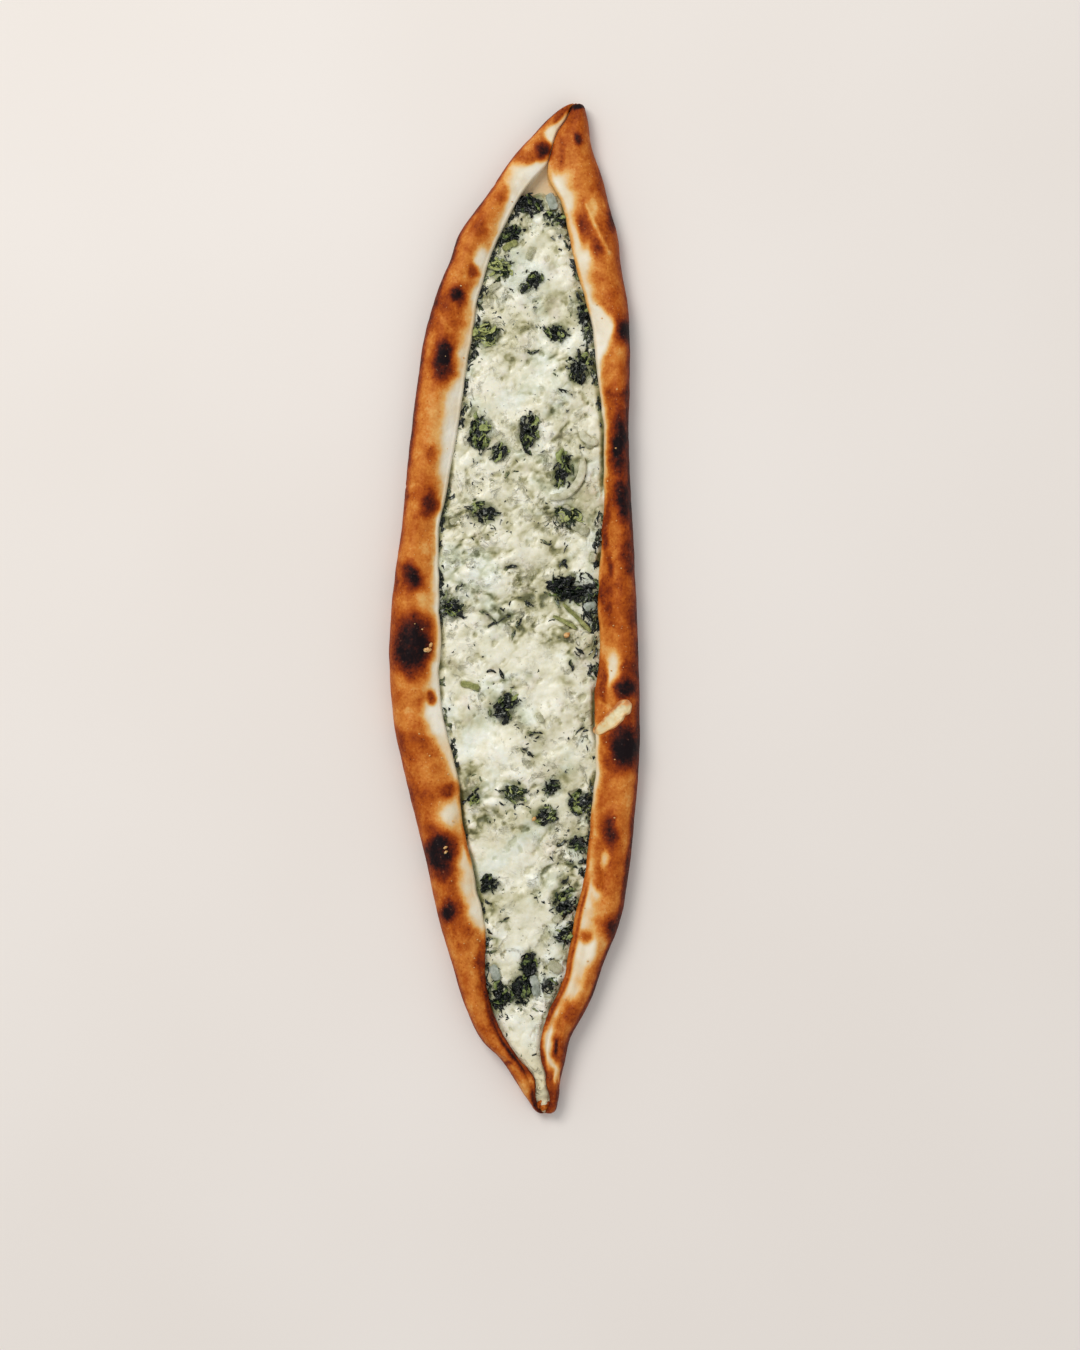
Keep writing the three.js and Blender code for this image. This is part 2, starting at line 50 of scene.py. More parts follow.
CREST_HEIGHT = [
    (-240, 8.5), (-225, 12.5), (-200, 15), (-150, 16.5), (0, 17), (160, 16.5), (215, 13), (240, 9),
]
TOP_OVERLAP = 1.8
TOP_OVERLAP_FROM = 150
WIDEST_AT = 0.36
CREST_AT = 0.42
TUCK = 3.2
EDGE_HEIGHT = 11.4
EDGE_BELOW_CREST = 1.2
LIP = 1.4
LEAST_LIP_DROP = 0.3
# The most of a rim's width that its tuck, or its lip, takes
MOST_OF_WIDTH = 0.3
# How the top falls from the crest to the flap's edge: 1 is straight, more stays high for longer
TOP_FALL = 1.6
SEAM_HALF_GAP = 0.12
SEAM_DEPTH = 0.45
FLOOR_RISE_TOP = (203, 214)
FLOOR_RISE_BOTTOM = (-238, -234)
CREST_WOBBLE = 0.9
CREST_WOBBLE_LENGTH = 34
END_ROUNDING = 2.6
END_ROUNDING_SHARE = 0.34
# The flaps' edges wave a little in and out, less towards the ends
EDGE_WAVE = 0.7
EDGE_WAVE_LENGTH = 11
EDGE_WAVE_MIDDLE = -16
ROLLED_EDGE = {"from": -226, "to": -112, "blend": 14, "depth": 2.6, "at": 0.52, "spread": 0.24}

# The filling, the same as the solids have
FILLING_FROM = -234
FILLING_TO = 199
FILLING_HEIGHT = 9.3
FILLING_DOME = 1.2
FILLING_LUMPS = [(14, 1.3, 5), (6.5, 0.7, 9)]
END_SLOPE_LENGTH = 10
END_SLOPE_DROP = 2.4

# How finely the two large pieces are divided
CRUST_ROWS = 720
UNDER_POINTS = 6
SIDE_POINTS = 19
TOP_POINTS = 26
LIP_POINTS = 5
WALL_POINTS = 3
FLOOR_POINTS = 6
BASE_POINTS = 12
CHEESE_ROWS = 660
CHEESE_COLUMNS = 144

# The cheese reaches under the flaps' lips, and a little past the filling's ends
UNDER_LIP = 1.2
PAST_BOTTOM = 3
PAST_TOP = 4
# How far it thins out at the ends, and how far its underside is sunk in the dough's floor
TOP_END_DROP = 5.5
BOTTOM_END_DROP = 1.6
BED_SUNK = 0.6

# Edges of the boat seen from above, as (y, x) from one end to the other
LEFT_OUTER = [
    (240, 26.5), (236, 20), (226, 9.5), (212, -2.5), (198, -12), (179, -25.5), (165, -30.5), (151, -36.5),
    (127, -43), (99, -47), (70, -50.5), (35, -54), (4, -58), (-24, -59.4), (-55, -57), (-91, -49),
    (-119, -42), (-147, -36), (-169, -29.5), (-185, -24.5), (-204, -16), (-214, -6), (-225, 1), (-233, 6),
    (-240, 10.5),
]
LEFT_INNER = [
    (240, 28), (232, 24.5), (226, 20.5), (217, 17.5), (211, 15.8), (203, 8.5), (193, 1.5), (179, -5.5),
    (165, -12), (146, -17), (122, -21), (94, -25.5), (61, -31), (42, -35), (18, -35.7), (-15, -35),
    (-34, -35.7), (-58, -32.5), (-81, -26.7), (-105, -24), (-128, -18.7), (-150, -14), (-176, -13.5),
    (-195, -8.5), (-212, 1.2), (-219, 7.4), (-224, 9.8), (-232, 10.4), (-236, 11.4), (-240, 13.4),
]
RIGHT_INNER = [
    (240, 28), (232, 24.5), (226, 20.5), (217, 17.5), (211, 16), (203, 16.5), (193, 22), (179, 25.5),
    (160, 29.5), (141, 35), (117, 39), (94, 41.5), (65, 42.5), (32, 41.5), (4, 39.5), (-20, 40), (-46, 38),
    (-74, 38.3), (-110, 35), (-133, 32), (-157, 26.5), (-176, 23), (-195, 14.4), (-207, 12.4), (-214, 12.6),
    (-220, 14.6), (-226, 15.2), (-232, 16.8), (-236, 16), (-240, 14.6),
]
RIGHT_OUTER = [
    (240, 33.2), (231, 35), (219, 36.8), (203, 42), (188, 46), (174, 49.5), (160, 51), (144, 54), (122, 55),
    (99, 54.6), (70, 54.6), (32, 56.5), (-5, 58.4), (-43, 59.4), (-72, 59.4), (-100, 57), (-128, 54),
    (-147, 50.4), (-166, 43.3), (-185, 36.7), (-204, 26.5), (-215, 24), (-225, 21.7), (-231, 21.3),
    (-240, 19.5),
]

# Fine wrinkles of the crust, as (size, height, seed), and finer ones where it is scorched
WRINKLES = [(13, 0.5, 100), (4.5, 0.22, 110)]
SCORCHED_WRINKLES = (2.2, 0.22, 120)

# Blisters that puffed up on the rims, as (x, y, half width, half length, height)
BLISTERS = [
    (13.5, 217, 4, 4, 0.7), (30.5, 222, 2.5, 3.5, 0.5), (-27, 149, 4.5, 6, 0.9), (-32.5, 118, 5, 11, 1.2),
    (-38, 70, 3, 5, 0.5), (-40.5, 50, 3.5, 7, 0.7), (-48.5, 16, 4, 6, 0.8), (-47.5, -17, 9, 14, 1.7),
    (-41, -88, 3, 3, 0.4), (-32, -86, 3, 3, 0.5), (-35, -116, 7, 13, 1.6), (-30.5, -98.5, 5, 6.5, 1.0),
    (-31.5, -143, 4, 5, 0.8), (44, 187, 3, 7, 0.6), (52, 132, 4, 7, 0.8), (49.5, 79, 4, 12, 1.2),
    (51.5, 49, 3.5, 9, 1.0), (53, 25, 3, 6, 0.5), (53, -38.5, 4.5, 4, 0.8), (52, -65, 7, 10, 1.5),
    (45.5, -104, 4, 6, 0.8), (44.5, -151, 4, 4, 0.6), (5, -227, 2.8, 7, 1.3), (16, -226, 1.8, 8, 1.0),
    (23, -200, 2.2, 9, 0.9),
]

# Scorched spots, as (x, y, half width, half length, how dark from 0 to 1); one of them is painted shade
SCORCHES = [
    (13.5, 217, 4.8, 4.6, 0.9), (5, 214, 5, 4, 0.64), (-6, 196, 4, 5, 0.66), (-16, 180, 4, 6, 0.66),
    (-19, 160, 3, 3.8, 0.74), (-26.5, 148.5, 5, 6.4, 0.92), (-33, 117, 5.6, 11, 0.99),
    (-39, 73, 2.6, 4, 0.7), (-39.6, 51, 3.6, 7.4, 0.86), (-48.5, 15.5, 5, 6.4, 0.95),
    (-57.5, 14, 2, 14, 0.74), (-48, -18, 9.4, 15.6, 1.0), (-39.5, -42, 2, 3.2, 0.74),
    (-48.5, -63, 3, 8, 0.66), (-45, -88, 6, 6, 0.66), (-32, -86.5, 4.4, 4.6, 0.82),
    (-35.3, -115.5, 7.6, 12.8, 1.0), (-31.4, -143.6, 4.8, 5, 0.96), (-22, -153, 3, 4, 0.7),
    (-15, -171, 3, 14, 0.74), (-10.5, -188, 3, 12, 0.82), (5, -214, 3, 10, 0.8), (30, 237.8, 5.2, 2.2, 1.0),
    (30.5, 234.5, 4.5, 4, 0.72), (30.6, 222.4, 2.4, 3.4, 0.86), (22, 216, 2, 8, 0.66),
    (42, 203, 6, 9, 0.68), (47, 188, 3.4, 11, 0.88), (33.6, 181, 3.4, 10, 0.72), (41, 172, 4, 7, 0.74),
    (47, 150, 6, 10, 0.6), (52.5, 131, 5, 7, 0.93), (49.6, 77.5, 4.8, 13.4, 1.0),
    (51.4, 50.5, 4.6, 10, 1.0), (54.5, 24, 4, 10, 0.82), (43.4, 36, 1.6, 14, 0.78), (42.5, 8, 2.4, 9, 0.74),
    (56.5, -8, 3, 14, 0.74), (42, -37, 2.4, 12, 0.72), (53.4, -38.6, 5.6, 4.8, 0.95),
    (51.5, -64.4, 8.6, 13, 0.99), (45, -105, 4.4, 8, 0.87), (41, -129, 3.4, 5, 0.6),
    (46.6, -151, 4.8, 6, 0.86), (34.4, -154, 3.2, 3.4, 0.58), (42, -176, 4, 8, 0.66),
    # (20.8, -207.5) is painted shade in the crease of the right flap's valley, not a scorch
    (27, -190, 4, 6, 0.66), (20.8, -207.5, 1.5, 6, 0.97), (16.2, -226, 2, 8, 0.74),
    (21.6, -208.5, 3.2, 8, 0.74), (25, -214, 2.4, 10, 0.78), (20, -231, 2, 7, 0.8),
    (45.5, 20, 1.8, 8, 0.76), (45, 2, 1.6, 8, 0.74), (14, -236, 4, 3, 0.8), (-2.2, -215.6, 1.8, 1.4, 0.86),
]
# How brown the crust is on the whole, and the brownest that it gets away from the scorched spots
BAKE_MEAN = 0.57
BROWNEST_BARE = 0.82
# Sizes of its broad and its finer mottling, and how much each changes it
BROAD_MOTTLE = 26
FINER_MOTTLE = 9
MOTTLING = 0.16
# How far across the rim the browner outer side reaches
OUTER_SIDE = 0.18
# How brown the pale dough is, and how much more in the rolled edge's valley
PALE_BAKE = 0.08
VALLEY_BROWNER = 0.05
# How far a spot's outline wanders, over what size, and where its strength starts to fall and ends, in
# its half widths
SPOT_WOBBLE = 2.2
SPOT_WOBBLE_SIZE = 8
SCORCH_CORE = 0.3
SCORCH_RIM = 1.62
PALE_CORE = 0.25
PALE_RIM = 1.85
# How brown the dough's inner floor and its underside are
FLOOR_BAKE = 0.16
BASE_BAKE = 0.3
# How brown the two ends' middle points are, bottom and top
END_BAKE = (0.7, 0.8)

# Places that stayed pale, as (x, y, half width, half length, how much); one is a painted highlight
PALE_PATCHES = [
    (17.5, 226, 2, 4, 0.6), (4.5, 207, 6, 4, 0.8), (-2, 198, 3, 5, 0.6), (-15.4, 166, 2.8, 5, 0.9),
    (24, 202, 4, 5, 0.4), (36.5, 190, 2.6, 5, 0.6), (32, 170, 4, 4, 0.6), (40, 134, 5, 5, 0.8),
    (-30.5, -98.5, 6, 7.5, 1.0), (46.4, -29, 3.6, 8, 0.9), (-44, 3, 4, 5, 0.5), (-34, 86, 5, 14, 0.3),
    (-40, 30, 6, 8, 0.3), (-23, -132, 4, 4, 0.6), (-18.5, -143, 3, 6, 0.7), (42.5, -119, 1.6, 3.4, 0.7),
    (39, -134, 2.4, 4, 0.7), (36.6, -160, 2.4, 6, 0.8), (17, -206, 2.0, 7.5, 0.85),
    (20.2, -217.5, 1.3, 4, 0.7), (20.9, -227, 0.8, 5, 0.6), (46, 18, 6, 8, 0.2), (-38, -52, 4, 8, 0.4),
    # (5, -225) is a painted highlight on the rolled bulge of the lower left flap
    (-40, -75, 4, 6, 0.25), (5, -225, 2, 4, 0.5),
]

# Across a rim from its outer side, the share at which the crust turns pale, along y
PALE_FROM = {
    "left": [
        (240, 0.75), (233, 0.78), (228, 0.6), (225, 0.52), (221, 0.85), (217, 1.1), (208, 0.5), (198, 0.66),
        (188, 0.86), (174, 0.94), (146, 0.84), (112, 0.75), (100, 0.66), (80, 0.68), (61, 0.8), (42, 0.92),
        (4, 0.84), (-10, 0.92), (-34, 0.8), (-53, 0.68), (-72, 0.82), (-85, 0.98), (-104, 0.92),
        (-120, 0.78), (-134, 0.68), (-150, 0.8), (-163, 1.1), (-240, 1.3),
    ],
    "right": [
        (240, 1.3), (212, 1.1), (205, 0.88), (195, 0.69), (185, 0.82), (170, 0.64), (155, 0.8), (146, 0.84),
        (134, 0.44), (125, 0.62), (117, 0.86), (80, 0.92), (42, 1.02), (4, 0.99), (-22, 1.02), (-52, 1.05),
        (-60, 0.93), (-110, 0.95), (-119, 0.9), (-138, 0.74), (-157, 0.46), (-185, 0.44), (-196, 0.78),
        (-206, 0.55), (-224, 0.35), (-234, 1.1), (-240, 1.2),
    ],
}
# How brown the very edge of each flap is, along y, and the share across the rim where that begins.
# Along the top seam on the right and down the lower left flap, that brown is partly painted shade.
LIP_BROWN_AND_SHADE = {
    "left": [
        (240, 0.2), (212, 0.12), (-78, 0.12), (-86, 0.5), (-116, 0.5), (-126, 0.12), (-150, 0.14),
        (-160, 0.6), (-176, 0.8), (-240, 0.78),
    ],
    "right": [
        (240, 0.7), (215, 0.5), (206, 0.36), (160, 0.36), (130, 0.18), (60, 0.22), (48, 0.44), (2, 0.44),
        (-26, 0.62), (-50, 0.6), (-58, 0.16), (-92, 0.16), (-104, 0.6), (-146, 0.6), (-162, 0.64),
        (-200, 0.74), (-240, 0.7),
    ],
}
LIP_FROM = 0.89
# Brown folds beside the flaps' edges: from y, to y, share across the rim at each, half breadth at each,
# and how brown; the left one's dark line is partly painted shade along the rolled edge
FOLD_LINES = {
    "left": (-250, -170, 0.72, 0.93, 1.6, 1.1, 0.9),
    "right": (-246, -120, 0.9, 0.9, 1.4, 1.0, 0.74),
}
# How much browner or paler the whole rim is, along y
BROWNER = {
    "left": [
        (240, -0.05), (180, -0.08), (125, -0.03), (75, -0.05), (25, -0.06), (-25, -0.02), (-75, 0.0),
        (-125, -0.04), (-160, -0.05), (-240, -0.04),
    ],
    "right": [
        (240, -0.1), (212, -0.09), (180, -0.07), (125, -0.01), (75, 0.05), (40, 0.13), (12, 0.12),
        (-20, -0.01), (-75, 0.01), (-125, -0.07), (-190, -0.07), (-240, 0.02),
    ],
}
# How much browner still the outer side of the rim is, along y
EDGE_BROWNER = {
    "left": [
        (240, 0.36), (190, 0.28), (100, 0.3), (50, 0.24), (0, 0.07), (-140, 0.08), (-180, 0.18),
        (-240, 0.2),
    ],
    "right": [
        (240, 0.1), (150, 0.16), (75, 0.3), (0, 0.18), (-75, 0.3), (-125, 0.46), (-190, 0.5), (-240, 0.5),
    ],
}

# Creases pressed into the crust, and ridges where the depth is negative: (x, y, x, y, half width, depth)
CREASES = [
    (34, 191, 38.4, 181, 1.0, -0.8), (38.4, 181, 40.6, 176, 0.8, -0.5), (41.2, 175, 44.6, 168, 1.1, -0.8),
    (-57, 57, -46, 59, 0.8, 0.6), (21, -211, 21.4, -199, 1.1, 1.2), (18.6, -223, 19.8, -213, 1.0, 0.7),
    (-4.5, -213, 2.5, -221, 1.0, 0.8), (2.5, -212, 7.4, -224, 0.9, 0.5), (40, -44, 52, -51, 1.2, 0.6),
    (-12, 203, -4, 196, 1.6, 0.4), (-36, 140, -30, 132, 1.6, 0.4), (48, 112, 42, 104, 1.8, 0.4),
    (-52, -48, -40, -52, 2.0, 0.4), (50, -90, 40, -96, 2.0, 0.4),
]

# Spinach clumps, as (x, y, half length, half width, turn in degrees)
SPINACH = [
    (8.5, 191.5, 6, 4.6, -20), (18.5, 184.5, 3.8, 3.2, 0), (-1, 177.5, 4.6, 2.8, 30),
    (-6.5, 161, 5.4, 4.2, 10), (8, 154.5, 5.2, 2.6, 45), (-13, 129.5, 5.8, 4.7, 0),
    (20.5, 130.5, 5, 3.4, -15), (31, 113.5, 7.2, 4.2, 80), (35.2, 137, 5.6, 1.9, 105),
    (-15.8, 83.5, 7.6, 4.2, 70), (6.8, 84, 7.2, 4, 85), (-6.8, 74, 4.6, 2.8, 50), (23.6, 65.5, 7.6, 4, 80),
    (-14.8, 45.5, 6.6, 4.2, -20), (26, 43, 6.8, 4.4, -25), (28, 9, 10, 6.4, 8), (-29.2, 0.5, 5, 4.6, 0),
    (-4.6, -47, 7, 4.2, 70), (-18.8, -88.5, 4.2, 2.2, 80), (-0.6, -86.8, 5.4, 4, -25),
    (18, -84.6, 3.8, 3.2, 0), (31, -92, 5, 4.4, 20), (15, -98, 4.4, 3.4, 0), (30, -111, 3.8, 2.8, 10),
    (-12, -130.6, 4.4, 2.9, 0), (23.2, -139.6, 5.6, 4.4, 70), (22.4, -155, 3.8, 3, 0),
    (7, -168.5, 6, 3, 80), (-7.8, -183.6, 6.6, 4.6, 85), (2.5, -181, 7, 5, 80), (16.2, -178.6, 3, 2.8, 0),
]
# Stretches of wall lined with leaf: (side, from y, to y, reach from the wall, how many scraps)
WALL_LEAVES = [
    ("left", 196, 150, 3.0, 34), ("left", 150, 110, 2.4, 26), ("left", 108, 84, 1.2, 12),
    ("left", 58, 36, 2.6, 16), ("left", 34, -12, 1.2, 16), ("left", -30, -74, 1.2, 16),
    ("left", -128, -184, 1.8, 16), ("right", 186, 146, 2.0, 16), ("right", 152, 92, 3.0, 52),
    ("right", 48, 18, 2.6, 16), ("right", 16, -30, 4.2, 46), ("right", 6, -9, 8, 40),
    ("right", -78, -126, 2.6, 26), ("right", -132, -160, 2.0, 12),
]

# How much of a clump's plan its packed middle takes, and how that is divided
CLUMP_CORE = 0.8
CLUMP_RINGS = 12
CLUMP_SECTORS = 36
LEAF_THICKNESS = 0.2
# How near to the walls a clump may lie, and a scrap of it
CLUMP_INSET = 0.9
CLUMP_CLEARANCE = 0.8

# Small scraps strewn over the cheese, and the most places that are tried for them
STREWN = 900
STREWN_TRIES = 60000

# Places where many small scraps show in the cheese, as (x, y, half width, half length)
FLECKED = [
    (0, -3, 16, 9), (30, -18, 9, 7), (-18, 40, 12, 8), (24, 42, 12, 9), (4, -64, 9, 9), (30, -62, 8, 8),
    (24, -120, 10, 10), (8, -92, 14, 8),
]

# Thin scraps of leaf lying along the curds, as (x, y, length, turn in degrees)
STREAKS = [
    (-1.9, 20.2, 6.2, -5), (23.2, 22, 5.6, 42), (6.8, 2, 4, -35), (-7.4, -6, 13.4, 25),
    (-10, -5.4, 3.6, -55), (1, -9.2, 10.4, 66), (31, -19.6, 5, -36), (27.4, -27.2, 6.2, -68),
    (-5.6, -31.4, 6.2, -66), (-10.8, -30.2, 3.4, -8), (31.2, -57.6, 3.4, 38), (10.4, -59, 8, 0),
    (6, -68.2, 8.6, -28), (20.8, 1.8, 6.6, -76), (-11.4, -49.4, 5, -72), (9.4, 121.6, 6, 15),
    (23.5, 102.6, 5, -10), (-3.5, 62.8, 3, 80), (-26.5, 10.1, 5, 60), (15.4, 31, 4.4, -15),
    (24.2, 27.6, 3, 60), (23.6, -129.2, 4.4, 45), (22.2, -110.9, 3, 40), (-4.8, -148, 4, 30),
]

# Clumps that keep more green and show more stalk, by their place in the list above
GREENER = (3, 5, 14, 19)
# Clumps that cooked nearly black
DARKER = (0, 2, 15, 23, 27, 28, 29, 30)

# Onion pieces and spinach stalks: (name, x, y, half length, half width, turn in degrees)
CHIPS = [
    ("onion_top_chip", 17.4, 192.6, 4, 2.3, -70), ("onion_square_chip", 36, 0.4, 2.8, 2.3, 10),
    ("onion_long_chip", 9.4, -178.6, 4.8, 2, -80), ("onion_side_chip", -9.6, -172.6, 3.6, 2.2, -70),
    ("stalk_top", -1.8, 171.6, 3.8, 1.6, 30), ("stalk_left", -21, -36.8, 4.6, 1.6, -15),
    ("stalk_long", 29.6, -4.4, 9.4, 1, -45), ("stalk_short", 24, -6.6, 6.4, 1, -28),
]
CHIP_RISE = 1.4
CHIP_SINK = 1.2
CHIP_LIFT = 0.35
BAR_SIDES = 20

# Curved onion slices: (name, centre x, centre y, radius, first and last angle in degrees)
SLICES = [
    ("onion_ring_slice", 18.8, 66.6, 13.6, -98, 18), ("onion_small_slice", 37.4, 84.6, 5.6, 190, 292),
]
SLICE_WIDTH = 3.8
# The cheese's narrow gap round them: how far out it is deepest, and its half width
GAP_AT = 0.1
GAP_WIDTH = 0.55

# Lumps of the pinched knot at the bottom end: (x, y, radius, how brown)
KNOT = [
    (11.4, -235.6, 2.0, 0.64), (14.2, -236.8, 2.1, 0.56), (16.4, -235.2, 1.6, 0.68),
    (12.8, -233.8, 1.4, 0.5),
]
KNOT_HEIGHT = 6.8
LUMPINESS = 0.3

# Smaller onion scraps in the cheese, as (x, y, half length, half width, turn in degrees)
ONION_BITS = [
    (-3.1, -182.2, 3, 1.7, -60), (17.1, -181.5, 2.8, 2.2, 20), (19, -170.5, 3.2, 2.6, -40),
    (31, 37.5, 4.4, 2.4, -30), (24.5, 45, 3.6, 2.4, 60), (37.6, 24, 2.2, 1.5, 80), (-9, 152, 3.2, 1.5, 35),
    (8, 168, 3, 1.4, 70), (22, 178, 2.6, 2, -20), (-24, -128, 2.4, 1.5, 30), (21, -147, 2.6, 1.8, 40),
    (36.5, 78, 2.4, 1.6, 60), (-28, 41, 2.4, 1.6, 10), (12, -52, 2.2, 1.4, -60),
]

# Browned crumbs: on the left rim and on the cheese, as (x, y, radius), and how many tiny ones on the rims
RIM_CRUMBS = [(-41, -19.6, 1.9), (-39.4, -17.4, 1.2), (-32.4, -112.8, 1.0), (-32.2, -115, 0.9)]
CHEESE_CRUMBS = [(24.8, -12.6, 1.7), (9.4, -99.6, 1.2)]
TINY_CRUMBS = 60

# Cheese that ran over the right rim and baked on, as (x, y, half length, half width, turn in degrees)
SPILL = (48.6, -50, 8.6, 4.2, 38)
# How wide its tail towards the filling is, how high it stands, and how far the tail reaches
SPILL_TAIL = 0.86
SPILL_RISE = 1.5
SPILL_REACH = 5.6
SPILL_ROWS = 52
SPILL_COLUMNS = 28

# How wide the cheese's swells, its large and small curds and its pits are, and how deep a pit is
SWELL_SIZE = 11
LARGE_CURD = 8.0
SMALL_CURD = 3.8
PIT_SIZE = 4.4
PIT_DEPTH = 1.3
# The way the curds are drawn out, in degrees from across the boat, and how much
CURD_TURN = 25
CURD_STRETCH = 0.62
# The moat where the cheese shrank from the walls: its least depth, and how much deeper it gets
MOAT_DEPTH = 0.3
MOAT_DEEPER = 1.3

# Places where the cheese melted smooth, as (x, y, half width, half length)
MELTED = [
    (10, 160, 9, 12), (4, 112, 14, 10), (2, 98, 18, 8), (8, 30, 12, 12), (0, -22, 24, 10),
    (14, -44, 10, 14), (-10, -66, 14, 12), (-4, -118, 16, 12), (4, -150, 12, 10), (5, -205, 9, 14),
]

# The photograph looks straight down; its middle lies a little beside the boat's middle. In metres.
VIEW_WIDTH = 0.511
VIEW_MIDDLE = (0.0121, -0.0315)
VIEW_DISTANCE = 1.7
VIEW_LEVEL = 0.012
SENSOR_MM = 36

# Soft lights that look at the origin, as (name, place, size, power, colour), and the room's own light
LIGHTS = [
    ("window", (-0.95, 1.15, 2.0), 1.1, 35, (1.0, 0.985, 0.96)),
    ("fill", (1.2, -1.0, 1.6), 1.8, 5, (1.0, 0.96, 0.93)),
]
ROOM_COLOUR = (0.98, 0.985, 1.0, 1)
ROOM_LIGHT = 0.55
FLOOR_REACH = 12.0


# Numbers that repeat

def scatter(i, j, seed):
    """A repeatable number from 0 to 1 for whole numbers."""
    mixed = np.sin(i * 127.1 + j * 311.7 + seed * 74.7) * 43758.5453
    return mixed - np.floor(mixed)


def smooth(value, low, high):
    """From 0 at low to 1 at high, without a corner at either; low may be the larger."""
    t = np.clip((np.asarray(value, float) - low) / (high - low), 0, 1)
    return t * t * (3 - 2 * t)


def blend(a, b, t):
    """From a, where t is 0, to b, where t is 1."""
    return a + (b - a) * t


def turned(along, across, degrees):
    """Steps in x and y from lengths along and across a turned shape; the other way round for -degrees."""
    a = math.radians(degrees)
    return along * math.cos(a) - across * math.sin(a), along * math.sin(a) + across * math.cos(a)


def unit_grid(rows, columns):
    """Numbers from -1 to 1 that grow from row to row, and the same from column to column."""
    return np.meshgrid(np.linspace(-1, 1, rows), np.linspace(-1, 1, columns), indexing="ij")


def noise(x, y, seed):
    """Smooth noise from -1 to 1 with features one unit wide."""
    x, y = np.broadcast_arrays(np.asarray(x, float), np.asarray(y, float))
    i = np.floor(x)
    j = np.floor(y)
    u = smooth(x - i, 0, 1)
    v = smooth(y - j, 0, 1)
    low = blend(scatter(i, j, seed), scatter(i + 1, j, seed), u)
    high = blend(scatter(i, j + 1, seed), scatter(i + 1, j + 1, seed), u)
    return 2 * blend(low, high, v) - 1


def fractal(x, y, size, seed, octaves=3):
    """Noise from about -1 to 1 whose largest features are size wide, turned from layer to layer."""
    total = 0
    weight = 0
    for k in range(octaves):
        angle = 0.6 + 1.1 * k
        u = (x * math.cos(angle) + y * math.sin(angle)) / size * 2 ** k
        v = (y * math.cos(angle) - x * math.sin(angle)) / size * 2 ** k
        total = total + noise(u + 31.7 * k, v - 17.3 * k, seed + k) * 0.5 ** k
        weight += 0.5 ** k
    return total / weight


def curve(points):
    """A smooth function through points (position, value), in either order of position."""
    table = np.array(sorted(points), float)
    at, value = table[:, 0], table[:, 1]
    after = np.minimum(np.arange(len(at)) + 1, len(at) - 1)
    before = np.maximum(np.arange(len(at)) - 1, 0)
    slope = (value[after] - value[before]) / (at[after] - at[before])

    def read(position):
        t = np.clip(np.asarray(position, float), at[0], at[-1])
        k = np.clip(np.searchsorted(at, t, side="left") - 1, 0, len(at) - 2)
        span = at[k + 1] - at[k]
        s = (t - at[k]) / span
        h = s * s * (3 - 2 * s)
        bend = span * s * (1 - s) * ((1 - s) * slope[k] - s * slope[k + 1])
        return value[k] * (1 - h) + value[k + 1] * h + bend

    return read


# The dough's plan and section

crest_height = curve(CREST_HEIGHT)
OUTER = {"left": curve(LEFT_OUTER), "right": curve(RIGHT_OUTER)}
INNER = {"left": curve(LEFT_INNER), "right": curve(RIGHT_INNER)}
INWARD = {"left": 1, "right": -1}
pale_from, lip_brown_and_shade, browner, edge_browner = (
    {side: curve(points) for side, points in table.items()}
    for table in (PALE_FROM, LIP_BROWN_AND_SHADE, BROWNER, EDGE_BROWNER)
)


def inner_edge(side, y):
    """Where a flap's edge is; the two edges never cross."""
    middle = (INNER["left"](y) + INNER["right"](y)) / 2
    open_share = smooth(np.abs(y - EDGE_WAVE_MIDDLE), 212, 180)
    wave = EDGE_WAVE * open_share * fractal(y, 3 * INWARD[side], EDGE_WAVE_LENGTH, 20, 2)
    if side == "left":
        return np.minimum(INNER["left"](y) + wave, middle - SEAM_HALF_GAP)
    return np.maximum(INNER["right"](y) + wave, middle + SEAM_HALF_GAP)


def edge_height(y):
    return np.minimum(EDGE_HEIGHT, crest_height(y) - EDGE_BELOW_CREST)


def floor_height(y):
    closed = np.maximum(smooth(y, *FLOOR_RISE_TOP), 1 - smooth(y, *FLOOR_RISE_BOTTOM))
    return blend(BASE_THICKNESS, edge_height(y) - LIP - SEAM_DEPTH, closed)


def oval_reach(x, y, spot):
    """How far a point is from an oval spot's centre, in half widths and half lengths."""
    return np.hypot((x - spot[0]) / spot[2], (y - spot[1]) / spot[3])


def blister_height(x, y):
    total = 0
    for spot in BLISTERS:
        total = total + spot[4] * np.exp(-oval_reach(x, y, spot) ** 2)
    return total


def valley_depth(side, y, share):
    """How deep the valley behind the right flap's rolled edge is; the left flap has none."""
    if side == "left":
        return 0 * share
    e = ROLLED_EDGE
    along = smooth(y, e["from"], e["from"] + e["blend"]) * (1 - smooth(y, e["to"] - e["blend"], e["to"]))
    return e["depth"] * along * np.exp(-((share - e["at"]) / e["spread"]) ** 2)


